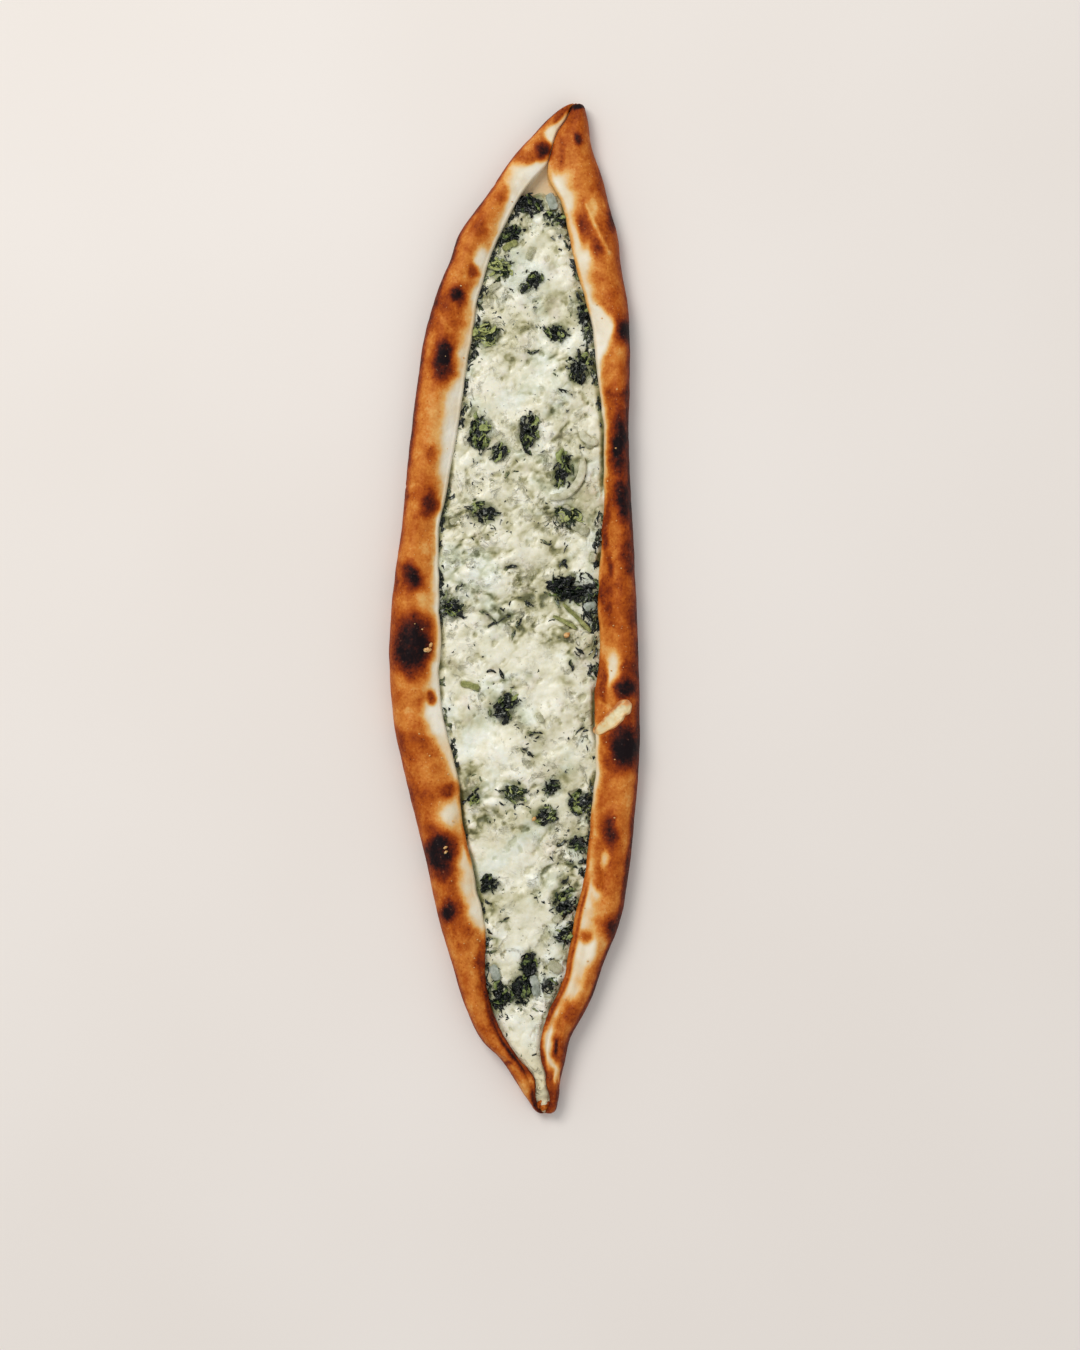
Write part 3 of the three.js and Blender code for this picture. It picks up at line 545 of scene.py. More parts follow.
def rim_section(side, y):
    """One rim's section at each station of y, from its line of contact with the table, out round the
    fold, over the crest and down to the floor. Returns x, z, the share across the rim, and how freely
    the surface may be roughened, each with a row for each station."""
    y = y[:, None]
    outer = OUTER[side](y)
    width = np.abs(inner_edge(side, y) - outer)
    overlap = smooth(y, TOP_OVERLAP_FROM, HALF_LENGTH) if side == "right" else 0
    wobble = CREST_WOBBLE * noise(y / CREST_WOBBLE_LENGTH, INWARD[side], 3)
    crest = crest_height(y) + TOP_OVERLAP * overlap + wobble
    waist = WIDEST_AT * crest
    tuck = np.minimum(TUCK, MOST_OF_WIDTH * width)
    lip = np.minimum(LIP, MOST_OF_WIDTH * width)
    crest_at = CREST_AT * width
    edge = edge_height(y)

    under = np.radians(np.linspace(0, 90, UNDER_POINTS + 1))[None, :-1]
    fold = np.radians(np.linspace(0, 90, SIDE_POINTS))[None, :]
    top = np.linspace(0, 1, TOP_POINTS + 1)[None, 1:]
    over_lip = np.radians(np.linspace(0, 90, LIP_POINTS + 1))[None, 1:]
    wall = np.linspace(0, 1, WALL_POINTS + 1)[None, 1:]

    top_inward = blend(crest_at, width - lip, top)
    share = (top_inward - crest_at) / (width - crest_at)
    top_z = crest - (crest - edge) * share ** TOP_FALL - valley_depth(side, y, share)
    lip_top = top_z[:, -1:]
    lip_low = np.minimum(edge - LIP, lip_top - LEAST_LIP_DROP)
    # Each stretch of the section, as its way inward, its height and how free it is
    stretches = [
        (tuck * (1 - np.sin(under)), waist * (1 - np.cos(under)), 0.6 * np.sin(under)),
        (crest_at * (1 - np.cos(fold)), waist + (crest - waist) * np.sin(fold), 0.6 + 0.4 * np.sin(fold)),
        (top_inward, top_z, 1 + 0 * top),
        (
            width - lip * (1 - np.sin(over_lip)),
            lip_low + (lip_top - lip_low) * np.cos(over_lip),
            blend(1, 0.4, np.sin(over_lip)),
        ),
        (width + 0 * wall, blend(lip_low, floor_height(y), wall), 0 * wall),
    ]
    inward, z, free = (np.hstack([part + 0 * y for part in parts]) for parts in zip(*stretches))
    x = outer + INWARD[side] * inward
    puffed = smooth(z, 0.3 * waist, 0.8 * crest)
    z = z + puffed * blister_height(x, y + 0 * x) * np.minimum(free, 1)
    return x, z, inward / width, free


def filling_height(x, y):
    """The height of the solids' filling: a low dome with large lumps that falls off at both ends."""
    left = inner_edge("left", y)
    right = inner_edge("right", y)
    across = np.clip((2 * x - left - right) / (right - left), -1, 1)
    lumps = 0
    for size, height, seed in FILLING_LUMPS:
        lumps = lumps + height * noise(x / size, y / size, seed)
    to_end = np.minimum(FILLING_TO - y, y - FILLING_FROM)
    slope = END_SLOPE_DROP * (1 - smooth(to_end, 0, END_SLOPE_LENGTH))
    return FILLING_HEIGHT + FILLING_DOME * (1 - across ** 4) + lumps * (1 - 0.5 * across ** 6) - slope


# The solids' origin is the middle of the underside, so the plan is moved by the same amount
stations = np.linspace(-HALF_LENGTH, HALF_LENGTH, 1200)
SHIFT_X = -(OUTER["left"](stations).min() + OUTER["right"](stations).max()) / 2


# Meshes

def grid_faces(rows, columns, wrap=False, start=0):
    """Quads between rows and columns of points; wrap joins the last column to the first."""
    last = columns if wrap else columns - 1
    i, k = np.meshgrid(np.arange(rows - 1), np.arange(last), indexing="ij")
    a = i * columns + k
    b = i * columns + (k + 1) % columns
    quads = np.stack([a, b, b + columns, a + columns], axis=-1).reshape(-1, 4)
    return (quads + start).tolist()


def closed_sheet_faces(rows, columns, wrap=False):
    """Faces of a sheet with a top grid, a bottom grid of points after it, and sides between them."""
    count = rows * columns
    faces = grid_faces(rows, columns, wrap)
    faces += [face[::-1] for face in grid_faces(rows, columns, wrap, count)]
    rim = list(range((rows - 1) * columns, count))
    if not wrap:
        rim = [i * columns for i in range(rows - 1)] + rim
        rim += [i * columns + columns - 1 for i in range(rows - 2, -1, -1)]
        rim += list(range(columns - 2, 0, -1))
    return faces + [(a, b, b + count, a + count) for a, b in zip(rim, rim[1:] + rim[:1])]


def closed_tube(rings):
    """Points and faces of a tube from its rings of points, closed round a middle point at each end."""
    rows, ring = rings.shape[:2]
    faces = grid_faces(rows, ring, wrap=True)
    for end, row in enumerate((0, rows - 1)):
        for k in range(ring):
            pair = row * ring + (k + 1) % ring, row * ring + k
            faces.append((*(pair[::-1] if end else pair), rows * ring + end))
    return np.vstack([rings.reshape(-1, 3), rings[[0, -1]].mean(axis=1)]), faces


def make_piece(name, points, faces, material, fields=None):
    """A mesh piece from points in the plan's millimetres. fields are numbers kept at its points."""
    points = np.asarray(points, float) + (SHIFT_X, 0, 0)
    mesh = bpy.data.meshes.new(name)
    mesh.from_pydata((points / 1000).tolist(), [], faces)
    mesh.validate()
    for field, values in (fields or {}).items():
        attribute = mesh.attributes.new(field, "FLOAT", "POINT")
        attribute.data.foreach_set("value", np.asarray(values, np.float32).ravel())
    mesh.polygons.foreach_set("use_smooth", [True] * len(mesh.polygons))
    mesh.materials.append(material)
    mesh.update()
    piece = bpy.data.objects.new(name, mesh)
    bpy.context.scene.collection.objects.link(piece)
    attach(piece, "root")
    return piece


def grid_normals(points):
    """Unit normals of a grid of points, whose last axis holds x, y and z."""
    along = np.gradient(points, axis=0)
    across = np.gradient(points, axis=1)
    normal = np.cross(across, along)
    return normal / np.maximum(np.linalg.norm(normal, axis=-1, keepdims=True), 1e-9)


# Materials

class Nodes:
    """A short way of writing a material's nodes."""

    def __init__(self, name):
        self.material = bpy.data.materials.new(name)
        self.material.use_nodes = True
        self.tree = self.material.node_tree
        self.shader = self.tree.nodes["Principled BSDF"]
        self.place = self.add("ShaderNodeTexCoord").outputs["Object"]

    def add(self, kind, **settings):
        node = self.tree.nodes.new(kind)
        for key, value in settings.items():
            setattr(node, key, value)
        return node

    def link(self, source, target):
        self.tree.links.new(source, target)

    def field(self, name):
        return self.add("ShaderNodeAttribute", attribute_name=name).outputs["Fac"]

    def noise(self, size_mm, detail=3, roughness=0.55, distortion=0.0, seed=0.0):
        node = self.add("ShaderNodeTexNoise", noise_dimensions="4D")
        node.inputs["W"].default_value = seed
        node.inputs["Scale"].default_value = 1000 / size_mm
        node.inputs["Detail"].default_value = detail
        node.inputs["Roughness"].default_value = roughness
        node.inputs["Distortion"].default_value = distortion
        self.link(self.place, node.inputs["Vector"])
        return node.outputs["Fac"]

    def spots(self, size_mm, feature="F1"):
        node = self.add("ShaderNodeTexVoronoi", feature=feature)
        node.inputs["Scale"].default_value = 1000 / size_mm
        self.link(self.place, node.inputs["Vector"])
        return node.outputs["Distance"]

    def swing(self, size_mm, *settings, seed=0.0):
        """Noise that swings about zero."""
        return self.math("SUBTRACT", self.noise(size_mm, *settings, seed=seed), 0.5)

    def contour(self, breadth, size_mm, *settings, seed=0.0):
        """1 along the lines where a noise is at its middle, down to 0 at either side."""
        off = self.math("ABSOLUTE", self.swing(size_mm, *settings, seed=seed))
        return self.remap(off, *breadth, 1.0, 0.0)

    def math(self, operation, a, b=0.0, c=0.0, clamp=False):
        node = self.add("ShaderNodeMath", operation=operation, use_clamp=clamp)
        for socket, value in zip(node.inputs, (a, b, c)):
            if isinstance(value, (int, float)):
                socket.default_value = value
            else:
                self.link(value, socket)
        return node.outputs["Value"]

    def remap(self, value, low, high, to_low=0.0, to_high=1.0):
        node = self.add("ShaderNodeMapRange", interpolation_type="SMOOTHSTEP")
        self.link(value, node.inputs["Value"])
        node.inputs["From Min"].default_value = low
        node.inputs["From Max"].default_value = high
        node.inputs["To Min"].default_value = to_low
        node.inputs["To Max"].default_value = to_high
        return node.outputs["Result"]

    def ramp(self, value, stops):
        """Colours along a value; each stop is (position, red, green, blue) as seen on screen, 0 to 255."""
        node = self.add("ShaderNodeValToRGB")
        elements = node.color_ramp.elements
        while len(elements) < len(stops):
            elements.new(1.0)
        for element, (position, *colour) in zip(elements, stops):
            element.position = position
            element.color = (*[to_linear(c) for c in colour], 1)
        self.link(value, node.inputs["Fac"])
        return node.outputs["Color"]

    def mix(self, factor, a, b):
        node = self.add("ShaderNodeMix", data_type="RGBA")
        self.link(factor, node.inputs["Factor"])
        self.link(a, node.inputs[6])
        self.link(b, node.inputs[7])
        return node.outputs[2]

    def tint(self, colour, factor, value, stops):
        """A colour turned towards a ramp's colour by a factor."""
        return self.mix(factor, colour, self.ramp(value, stops))

    def bump(self, height, distance_mm, strength=1.0, below=None):
        node = self.add("ShaderNodeBump")
        node.inputs["Strength"].default_value = strength
        node.inputs["Distance"].default_value = distance_mm / 1000
        self.link(height, node.inputs["Height"])
        if below is not None:
            self.link(below, node.inputs["Normal"])
        return node.outputs["Normal"]

    def finish(self, colour, roughness, normal, subsurface=0.0, radius_mm=(3, 2, 1), specular=0.5):
        sockets = self.shader.inputs
        self.link(colour, sockets["Base Color"])
        if isinstance(roughness, float):
            sockets["Roughness"].default_value = roughness
        else:
            self.link(roughness, sockets["Roughness"])
        self.link(normal, sockets["Normal"])
        sockets["Specular IOR Level"].default_value = specular
        if subsurface:
            sockets["Subsurface Weight"].default_value = subsurface
            sockets["Subsurface Radius"].default_value = radius_mm
            sockets["Subsurface Scale"].default_value = 0.001
        return self.material


def to_linear(level):
    """A screen colour's level, 0 to 255, as the linear value that Blender takes."""
    level = level / 255
    return level / 12.92 if level <= 0.04045 else ((level + 0.055) / 1.055) ** 2.4


def crust_material():
    """Baked dough, from pale through golden and brown to scorched, by the field named bake."""
    n = Nodes("baked_dough")
    mottle = n.swing(7, 4, 0.6, 0.4)
    grain = n.swing(1.3, 3, 0.6)
    baked = n.field("bake")
    browned = n.remap(baked, 0.1, 0.45)
    baked = n.math("MULTIPLY_ADD", n.math("MULTIPLY", mottle, browned), 0.5, baked)
    baked = n.math("MULTIPLY_ADD", n.math("MULTIPLY", grain, browned), 0.32, baked)
    freckles = n.math("MULTIPLY", n.remap(n.spots(2.6), 0.05, 0.22, 0.1, 0.0), browned)
    baked = n.math("ADD", baked, freckles, clamp=True)
    colour = n.ramp(baked, [
        (0.0, 236, 230, 214), (0.12, 224, 209, 178), (0.28, 220, 168, 96), (0.44, 203, 123, 47),
        (0.6, 170, 81, 15), (0.74, 126, 46, 5), (0.86, 76, 24, 10), (0.94, 38, 13, 11), (1.0, 17, 6, 9),
    ])
    flour = n.remap(n.spots(2.8), 0.03, 0.14, 0.5, 0.0)
    colour = n.tint(colour, flour, baked, [(0.0, 232, 222, 202), (0.5, 224, 170, 112), (1.0, 90, 70, 66)])
    fine = n.bump(n.noise(0.9, 3, 0.6), 0.16, 0.6)
    pores = n.bump(n.spots(1.9), 0.14, 0.4, fine)
    skin = n.bump(n.noise(4.5, 4, 0.6), 0.9, 0.6, pores)
    rough = n.math("ADD", n.remap(baked, 0.2, 0.95, 0.48, 0.66), n.math("MULTIPLY", grain, 0.2))
    return n.finish(colour, rough, skin, 0.04, (3, 1.4, 0.6), 0.12)


def cheese_material():
    """White curdled cheese, by the fields depth, painted shade between the curds, green, by the leaves,
    curd, how crumbly, and baked, golden."""
    n = Nodes("curdled_cheese")
    # The depth ramp is painted shade: whiter on the curds, darker and olive between them and by the walls
    depth = n.math("MULTIPLY_ADD", n.swing(1.9, 4, 0.65), 0.46, n.field("depth"))
    colour = n.ramp(depth, [
        (0.0, 234, 231, 212), (0.25, 218, 214, 187), (0.5, 192, 187, 151), (0.75, 148, 144, 100),
        (1.0, 90, 90, 50),
    ])
    green = n.math("MULTIPLY_ADD", n.swing(1.6, 3, 0.65, seed=1), 0.7, n.field("green"))
    stained = n.remap(green, 0.3, 1.0, 0.0, 0.85)
    colour = n.tint(colour, stained, n.noise(3.1, 2, seed=2), [(0.3, 96, 102, 60), (0.7, 150, 152, 104)])
    cool = n.remap(n.noise(17, 3, 0.6, seed=10), 0.48, 0.64, 0.0, 0.75)
    colour = n.tint(colour, cool, depth, [(0.0, 232, 236, 226), (0.5, 197, 203, 177), (1.0, 102, 108, 68)])
    rosy = n.remap(n.noise(12, 3, 0.6, seed=9), 0.55, 0.7, 0.0, 0.42)
    colour = n.tint(colour, rosy, depth, [(0.0, 226, 214, 202), (0.5, 190, 176, 158), (1.0, 112, 96, 76)])
    golden = n.remap(n.noise(15, 3, 0.6, seed=3), 0.6, 0.78, 0.0, 0.24)
    golden = n.math("MAXIMUM", golden, n.field("baked"))
    colour = n.tint(colour, golden, depth, [(0.0, 236, 224, 186), (1.0, 176, 158, 106)])

    # Specks and fine strokes of chopped leaf
    dotted = n.remap(n.noise(7, 3, seed=4), 0.5, 0.64)
    dots = n.math("MULTIPLY", n.remap(n.spots(2.5), 0.09, 0.2, 1.0, 0.0), dotted)
    stroked = n.remap(n.noise(6, 4, 0.62, seed=6), 0.56, 0.62)
    strokes = n.math("MULTIPLY", n.contour((0.006, 0.02), 7.5, 4, 0.66, 0.6, seed=5), stroked)
    strokes = n.math("MULTIPLY", strokes, n.remap(n.noise(3.6, 2, seed=14), 0.47, 0.58))
    leafy = n.remap(n.field("green"), 0.0, 0.5, 0.5, 0.95)
    herbs = n.math("MULTIPLY", n.math("MAXIMUM", dots, strokes), leafy)
    colour = n.tint(colour, herbs, n.noise(2.4, 2, seed=7), [(0.35, 42, 48, 34), (0.65, 104, 104, 68)])

    # Broken grooves between the curds: bumped in, and painted darker as shade
    crumbly = n.math("MULTIPLY", n.remap(n.noise(13, 3, seed=12), 0.42, 0.58), n.field("curd"))
    groove_and_shade = n.math("MULTIPLY", n.contour((0.0, 0.06), 9, 4, 0.62, 0.6, seed=11), crumbly)
    groove_and_shade = n.math("MULTIPLY", groove_and_shade, n.remap(n.noise(4.2, 2, seed=15), 0.42, 0.58, 0.15, 1.0))
    shaded = n.math("MULTIPLY", groove_and_shade, 0.5)
    colour = n.tint(colour, shaded, n.noise(3, 2, seed=13), [(0.3, 74, 76, 50), (0.7, 132, 130, 96)])

    fine = n.bump(n.noise(0.8, 3, 0.6), 0.14, 0.55)
    curd = n.bump(n.noise(2.2, 3, 0.55), 0.4, 0.6, fine)
    curd = n.bump(n.math("SUBTRACT", 1.0, groove_and_shade), 0.7, 0.8, curd)
    rough = n.remap(n.noise(2.6, 3, seed=8), 0.35, 0.7, 0.28, 0.52)
    return n.finish(colour, rough, curd, 0.22, (2.6, 2.2, 1.6), 0.45)


def leaf_material(name, dark, mid, light, bright=1.0, frosting=0.75):
    """Cooked leaf: wet and nearly black, with worn patches that stay green and specks of cheese."""
    n = Nodes(name)
    own_tone = n.math("MULTIPLY", n.field("tone"), 0.6 * bright)
    tone = n.math("ADD", n.noise(2.4, 3, 0.5, 0.6), own_tone)
    colour = n.ramp(n.remap(tone, 0.55, 1.3), [(0.0, *dark), (0.5, *dark), (0.75, *mid), (1.0, *light)])
    frost = n.remap(n.noise(2.3, 3, 0.62, seed=3), 0.58, 0.66, 0.0, frosting)
    colour = n.tint(colour, frost, n.noise(2.6, 2, seed=4), [(0.3, 128, 136, 122), (0.7, 206, 208, 192)])
    veins = n.bump(n.spots(1.7, "SMOOTH_F1"), 0.25, 0.5)
    wrinkle = n.bump(n.noise(1.1, 3, 0.6), 0.22, 0.7, veins)
    rough = n.remap(n.noise(1.8, 2, seed=5), 0.3, 0.7, 0.1, 0.36)
    return n.finish(colour, rough, wrinkle, 0.0, specular=0.34)


def onion_material(name, dark, mid, light):
    """Softened onion: half clear, with fine lines along it, by the field named line."""
    n = Nodes(name)
    lines = n.math("SINE", n.math("MULTIPLY", n.field("line"), 18.0))
    tone = n.math("MULTIPLY_ADD", lines, 0.12, n.noise(3, 3, 0.6))
    colour = n.ramp(tone, [(0.25, *dark), (0.5, *mid), (0.75, *light)])
    fine = n.bump(n.noise(1.2, 3), 0.15, 0.5)
    ribs = n.bump(lines, 0.12, 0.6, fine)
    return n.finish(colour, 0.24, ribs, 0.35, (3, 3, 2.4), 0.5)


def stalk_material():
    """Spinach stalk: yellow-green fibres, by the field named line."""
    n = Nodes("leaf_stalk")
    lines = n.math("SINE", n.math("MULTIPLY", n.field("line"), 22.0))
    tone = n.math("MULTIPLY_ADD", lines, 0.16, n.noise(2.2, 3, 0.6))
    colour = n.ramp(tone, [(0.25, 84, 92, 44), (0.5, 152, 156, 86), (0.8, 212, 210, 146)])
    fine = n.bump(n.noise(1.0, 3), 0.14, 0.5)
    ribs = n.bump(lines, 0.16, 0.7, fine)
    return n.finish(colour, 0.34, ribs, 0.1, (2, 2, 1))


def crumb_material():
    """Golden crumbs of baked cheese and dough."""
    n = Nodes("golden_crumb")
    colour = n.ramp(n.noise(1.6, 3, 0.6), [(0.3, 176, 104, 44), (0.5, 214, 164, 98), (0.72, 232, 210, 164)])
    fine = n.bump(n.noise(0.7, 3), 0.15, 0.6)
    return n.finish(colour, 0.5, fine, 0.1, (2, 1.4, 0.8))


def spill_material():
    """Cheese that baked on the crust: cream with golden edges, by the field named edge."""
    n = Nodes("baked_cheese")
    tone = n.math("MULTIPLY_ADD", n.swing(1.8, 3, 0.6), 0.5, n.field("edge"))
    colour = n.ramp(tone, [
        (0.0, 224, 210, 168), (0.35, 218, 192, 138), (0.65, 222, 160, 96), (1.0, 186, 112, 54),
    ])
    fine = n.bump(n.noise(1.4, 4, 0.65), 0.5, 0.8)
    return n.finish(colour, 0.28, fine, 0.15, (2.4, 1.8, 1))


# Crust

def bake_field(side, x, y, share):
    """How brown the crust is, from 0, pale, to 1, scorched."""
    broad = fractal(x, y, BROAD_MOTTLE, 40, 3)
    medium = fractal(x, y, FINER_MOTTLE, 50, 3)
    bake = BAKE_MEAN + browner[side](y) + MOTTLING * broad + MOTTLING * medium
    bake = bake + edge_browner[side](y) * (1 - smooth(share, 0.0, OUTER_SIDE))
    bake = np.minimum(bake, BROWNEST_BARE)
    start = pale_from[side](y) + 0.07 * fractal(x, y, 12, 60, 3) + 0.05 * fractal(x, y, 3.6, 65, 3)
    pale = smooth(share, start - 0.17, start + 0.14)
    in_valley = 1 - smooth(y, -128, ROLLED_EDGE["to"]) if side == "right" else 0
    bake = blend(bake, PALE_BAKE + VALLEY_BROWNER * in_valley + 0.18 * medium + 0.1 * broad, pale)
    lip_from = LIP_FROM + 0.02 * medium
    # The flap's very edge: browned, and painted darker as shade along the top seam and the lower left flap
    bake = blend(bake, lip_brown_and_shade[side](y) + 0.1 * medium, smooth(share, lip_from, lip_from + 0.08) * 0.8)
    first, last, low_at, high_at, low_breadth, high_breadth, brown = FOLD_LINES[side]
    up = smooth(y, first + 16, last)
    at = blend(low_at, high_at, up)
    breadth = blend(low_breadth, high_breadth, up)
    width = np.abs(inner_edge(side, y) - OUTER[side](y))
    along = smooth(y, first, first + 12) * (1 - smooth(y, last - 16, last))
    line = along * np.exp(-((share - at - 0.02 * medium) * width / breadth) ** 2)
    # The fold line: dough colour, and on the left partly painted shade along the flap's edge
    bake = blend(bake, brown + 0.14 * medium, 0.94 * line)
    wobble_x = SPOT_WOBBLE * fractal(x, y, SPOT_WOBBLE_SIZE, 70, 4)
    wobble_y = SPOT_WOBBLE * fractal(x, y, SPOT_WOBBLE_SIZE, 80, 4)
    for spot in PALE_PATCHES:
        far = oval_reach(x + wobble_x, y + wobble_y, spot)
        bake = blend(bake, 0.05 + 0.08 * medium, spot[4] * (1 - smooth(far, PALE_CORE, PALE_RIM)))
    for spot in SCORCHES:
        far = oval_reach(x + wobble_x, y + wobble_y, spot)
        strength = (1 - smooth(far, SCORCH_CORE, SCORCH_RIM)) ** 1.25
        bake = np.maximum(bake, blend(bake, spot[4], strength))
    for x0, y0, x1, y1, half_width, depth in CREASES:
        off = off_line(x + 0.5 * wobble_x, y + 0.5 * wobble_y, x0, y0, x1, y1)
        paleness = 0.6 if depth < 0 else 0.2
        bake = blend(bake, 0.14, paleness * np.exp(-(off / half_width) ** 2))
    return np.clip(bake, 0, 1)


def off_line(x, y, x0, y0, x1, y1):
    """Distance from points to a straight line between two ends."""
    span = (x1 - x0) ** 2 + (y1 - y0) ** 2
    t = np.clip(((x - x0) * (x1 - x0) + (y - y0) * (y1 - y0)) / span, 0, 1)
    return np.hypot(x - x0 - t * (x1 - x0), y - y0 - t * (y1 - y0))


def make_crust():
    t = np.linspace(-1, 1, CRUST_ROWS)
    y = HALF_LENGTH * (0.8 * t + 0.2 * np.sin(math.pi * t / 2))
    sections = {side: rim_section(side, y) for side in ("left", "right")}
    columns = sections["left"][0].shape[1]
    inside = np.linspace(0, 1, FLOOR_POINTS + 2)[None, 1:-1]
    below = np.linspace(0, 1, BASE_POINTS + 2)[None, 1:-1]
    x_left, z_left, share_left, free_left = sections["left"]
    x_right, z_right, share_right, free_right = (part[:, ::-1] for part in sections["right"])
    floor_x = blend(x_left[:, -1:], x_right[:, :1], inside)
    floor_z = floor_height(y)[:, None] + 0 * floor_x
    base_x = blend(x_right[:, -1:], x_left[:, :1], below)
    x = np.hstack([x_left, floor_x, x_right, base_x])
    z = np.hstack([z_left, floor_z, z_right, 0 * base_x])
    free = np.hstack([free_left, 0 * floor_x, free_right, 0 * base_x])
    grid_y = y[:, None] + 0 * x

    from_end = HALF_LENGTH - np.abs(y)
    closing = np.sqrt(np.clip(1 - np.clip(1 - from_end / END_ROUNDING, 0, 1) ** 2, 0, 1))
    keep = (1 - END_ROUNDING_SHARE * (1 - closing))[:, None]
    middle = ((OUTER["left"](y) + OUTER["right"](y)) / 2)[:, None]
    x = middle + (x - middle) * keep
    z = z * keep

    left_rim = np.s_[:, :columns]
    right_rim = np.s_[:, -columns - BASE_POINTS:-BASE_POINTS]
    points = np.stack([x, grid_y, z], axis=-1)
    bake = np.hstack([
        bake_field("left", x[left_rim], grid_y[left_rim], share_left),
        FLOOR_BAKE + 0 * floor_x,
        bake_field("right", x[right_rim], grid_y[right_rim], share_right),
        BASE_BAKE + 0.25 * fractal(base_x, y[:, None] + 0 * base_x, 14, 90, 4),
    ])
    scorched = smooth(bake, 0.8, 0.97)
    # Wrinkles use the distance round the rim, so that they don't stretch on its steep side
    around = x + 0.8 * z * np.sign(x - middle)
    rough = sum(rise * fractal(around, grid_y, size, seed, 2) for size, rise, seed in WRINKLES)
    size, rise, seed = SCORCHED_WRINKLES
    rough = rough + scorched * rise * fractal(around, grid_y, size, seed, 2)
    folds = 0
    for x0, y0, x1, y1, half_width, depth in CREASES:
        folds = folds - depth * np.exp(-(off_line(x, grid_y, x0, y0, x1, y1) / half_width) ** 2)
    points = points + grid_normals(points) * (free * (rough + folds))[..., None]
    points[..., 2] = np.maximum(points[..., 2], 0)

    points, faces = closed_tube(points)
    bake = np.append(bake.ravel(), END_BAKE)
    crust = make_piece("crust", points, faces, crust_material(), {"bake": bake})
    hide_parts("dough")


# Cheese

def near_spinach(x, y, reach):
    """1 at the spinach clumps, falling to 0 at reach millimetres beyond them."""
    near = np.zeros(np.shape(x))
    for cx, cy, half_length, half_width, turn in SPINACH:
        u, v = turned(x - cx, y - cy, -turn)
        far = np.hypot(u / (half_length + reach), v / (half_width + reach))
        near = np.maximum(near, 1 - smooth(far, half_length / (half_length + reach) * 0.8, 1))
    return near


def beside_bars(x, y):
    """1 in the narrow gap round the onion pieces and stalks, 0 elsewhere."""
    gap = np.zeros(np.shape(x))
    for bx, by, half_length, half_width, turn in [chip[1:] for chip in CHIPS] + ONION_BITS:
        u, v = turned(x - bx, y - by, -turn)
        u, v = np.abs(u) - half_length, np.abs(v) - half_width
        off = np.hypot(np.maximum(u, 0), np.maximum(v, 0)) + np.minimum(np.maximum(u, v), 0)
        gap = np.maximum(gap, np.exp(-((off - GAP_AT) / GAP_WIDTH) ** 2))
    for _, cx, cy, radius, first, last in SLICES:
        around = np.degrees(np.arctan2(y - cy, x - cx))
        off_turn = np.abs((around - (first + last) / 2 + 180) % 360 - 180)
        along = 1 - smooth(off_turn, (last - first) / 2 - 6, (last - first) / 2 + 4)
        off = np.abs(np.hypot(x - cx, y - cy) - radius) - SLICE_WIDTH / 2
        gap = np.maximum(gap, along * np.exp(-((off - GAP_AT) / GAP_WIDTH) ** 2))
    return gap * (0.55 + 0.45 * fractal(x, y, 4, 320, 2))


def beside_streaks(x, y):
    """1 along the thin scraps of leaf, falling to 0 beside them."""
    near = np.zeros(np.shape(x))
    for sx, sy, length, turn in STREAKS:
        dx, dy = turned(length / 2, 0, turn)
        off = off_line(x, y, sx - dx, sy - dy, sx + dx, sy + dy)
        near = np.maximum(near, np.exp(-(off / 1.5) ** 2))
    return near * (0.6 + 0.4 * fractal(x, y, 3.4, 330, 3))


def spotted(x, y, spots):
    """1 within oval spots, falling to 0 round them."""
    total = np.zeros(np.shape(x))
    for spot in spots:
        total = np.maximum(total, 1 - smooth(oval_reach(x, y, spot), 0.4, 1.4))
    return total


def billow(x, y, size, seed):
    """Rounded lumps with creases between them, from 0 in a crease to about 1 on a lump."""
    swirl_x = x + 0.3 * size * fractal(x, y, 1.3 * size, seed + 40, 2)
    swirl_y = y + 0.3 * size * fractal(x, y, 1.3 * size, seed + 50, 2)
    value = fractal(swirl_x, swirl_y, size, seed, 2)
    return np.sqrt(value ** 2 + 0.004) * 1.7


def curd_relief(x, y):
    """Height of the curds over the bed, and a painted shade from 0 to 1, darkest between them."""
    firm = 1 - 0.85 * spotted(x, y, MELTED) * (0.75 + 0.25 * fractal(x, y, 12, 240, 2))
    crumbly = smooth(fractal(x, y, 24, 245, 2), -0.3, 0.45)
    broad = fractal(x, y, SWELL_SIZE, 215, 3)
    patch = fractal(x, y, 6.5, 246, 3)
    along, across = turned(x, y, -CURD_TURN)
    large = billow(CURD_STRETCH * along, across, LARGE_CURD, 220)
    small = billow(CURD_STRETCH * along, across, SMALL_CURD, 230)
    fine = fractal(x, y, 2.3, 235, 2)
    pits = smooth(fractal(x, y, PIT_SIZE, 250, 3), 0.34, 0.58)
    lumps = blend(0.6, 1.25, crumbly) * large + blend(0.25, 0.65, crumbly) * small
    height = firm * (0.8 * broad + lumps + 0.16 * fine - 0.7) - PIT_DEPTH * pits * (0.15 + 0.85 * firm)
    creases = 0.6 * (1 - smooth(large, 0.05, 0.5)) + 0.42 * (1 - smooth(small, 0.05, 0.5))
    creases = creases * smooth(fractal(x, y, 4.6, 255, 3), -0.55, 0.15)
    # depth is painted shade: darker in the creases, on the lower swells and in the pits, with random olive
    # patches
    depth = firm * (0.16 - 0.28 * broad - 0.34 * patch + blend(0.3, 1, crumbly) * creases) - 0.14 * fine
    return height, np.clip(depth + 0.3 * pits + 0.04, 0, 1)


def wall_distance(x, y):
    """How far a place on the cheese is from the nearer flap's edge."""
    return np.minimum(x - inner_edge("left", y), inner_edge("right", y) - x)


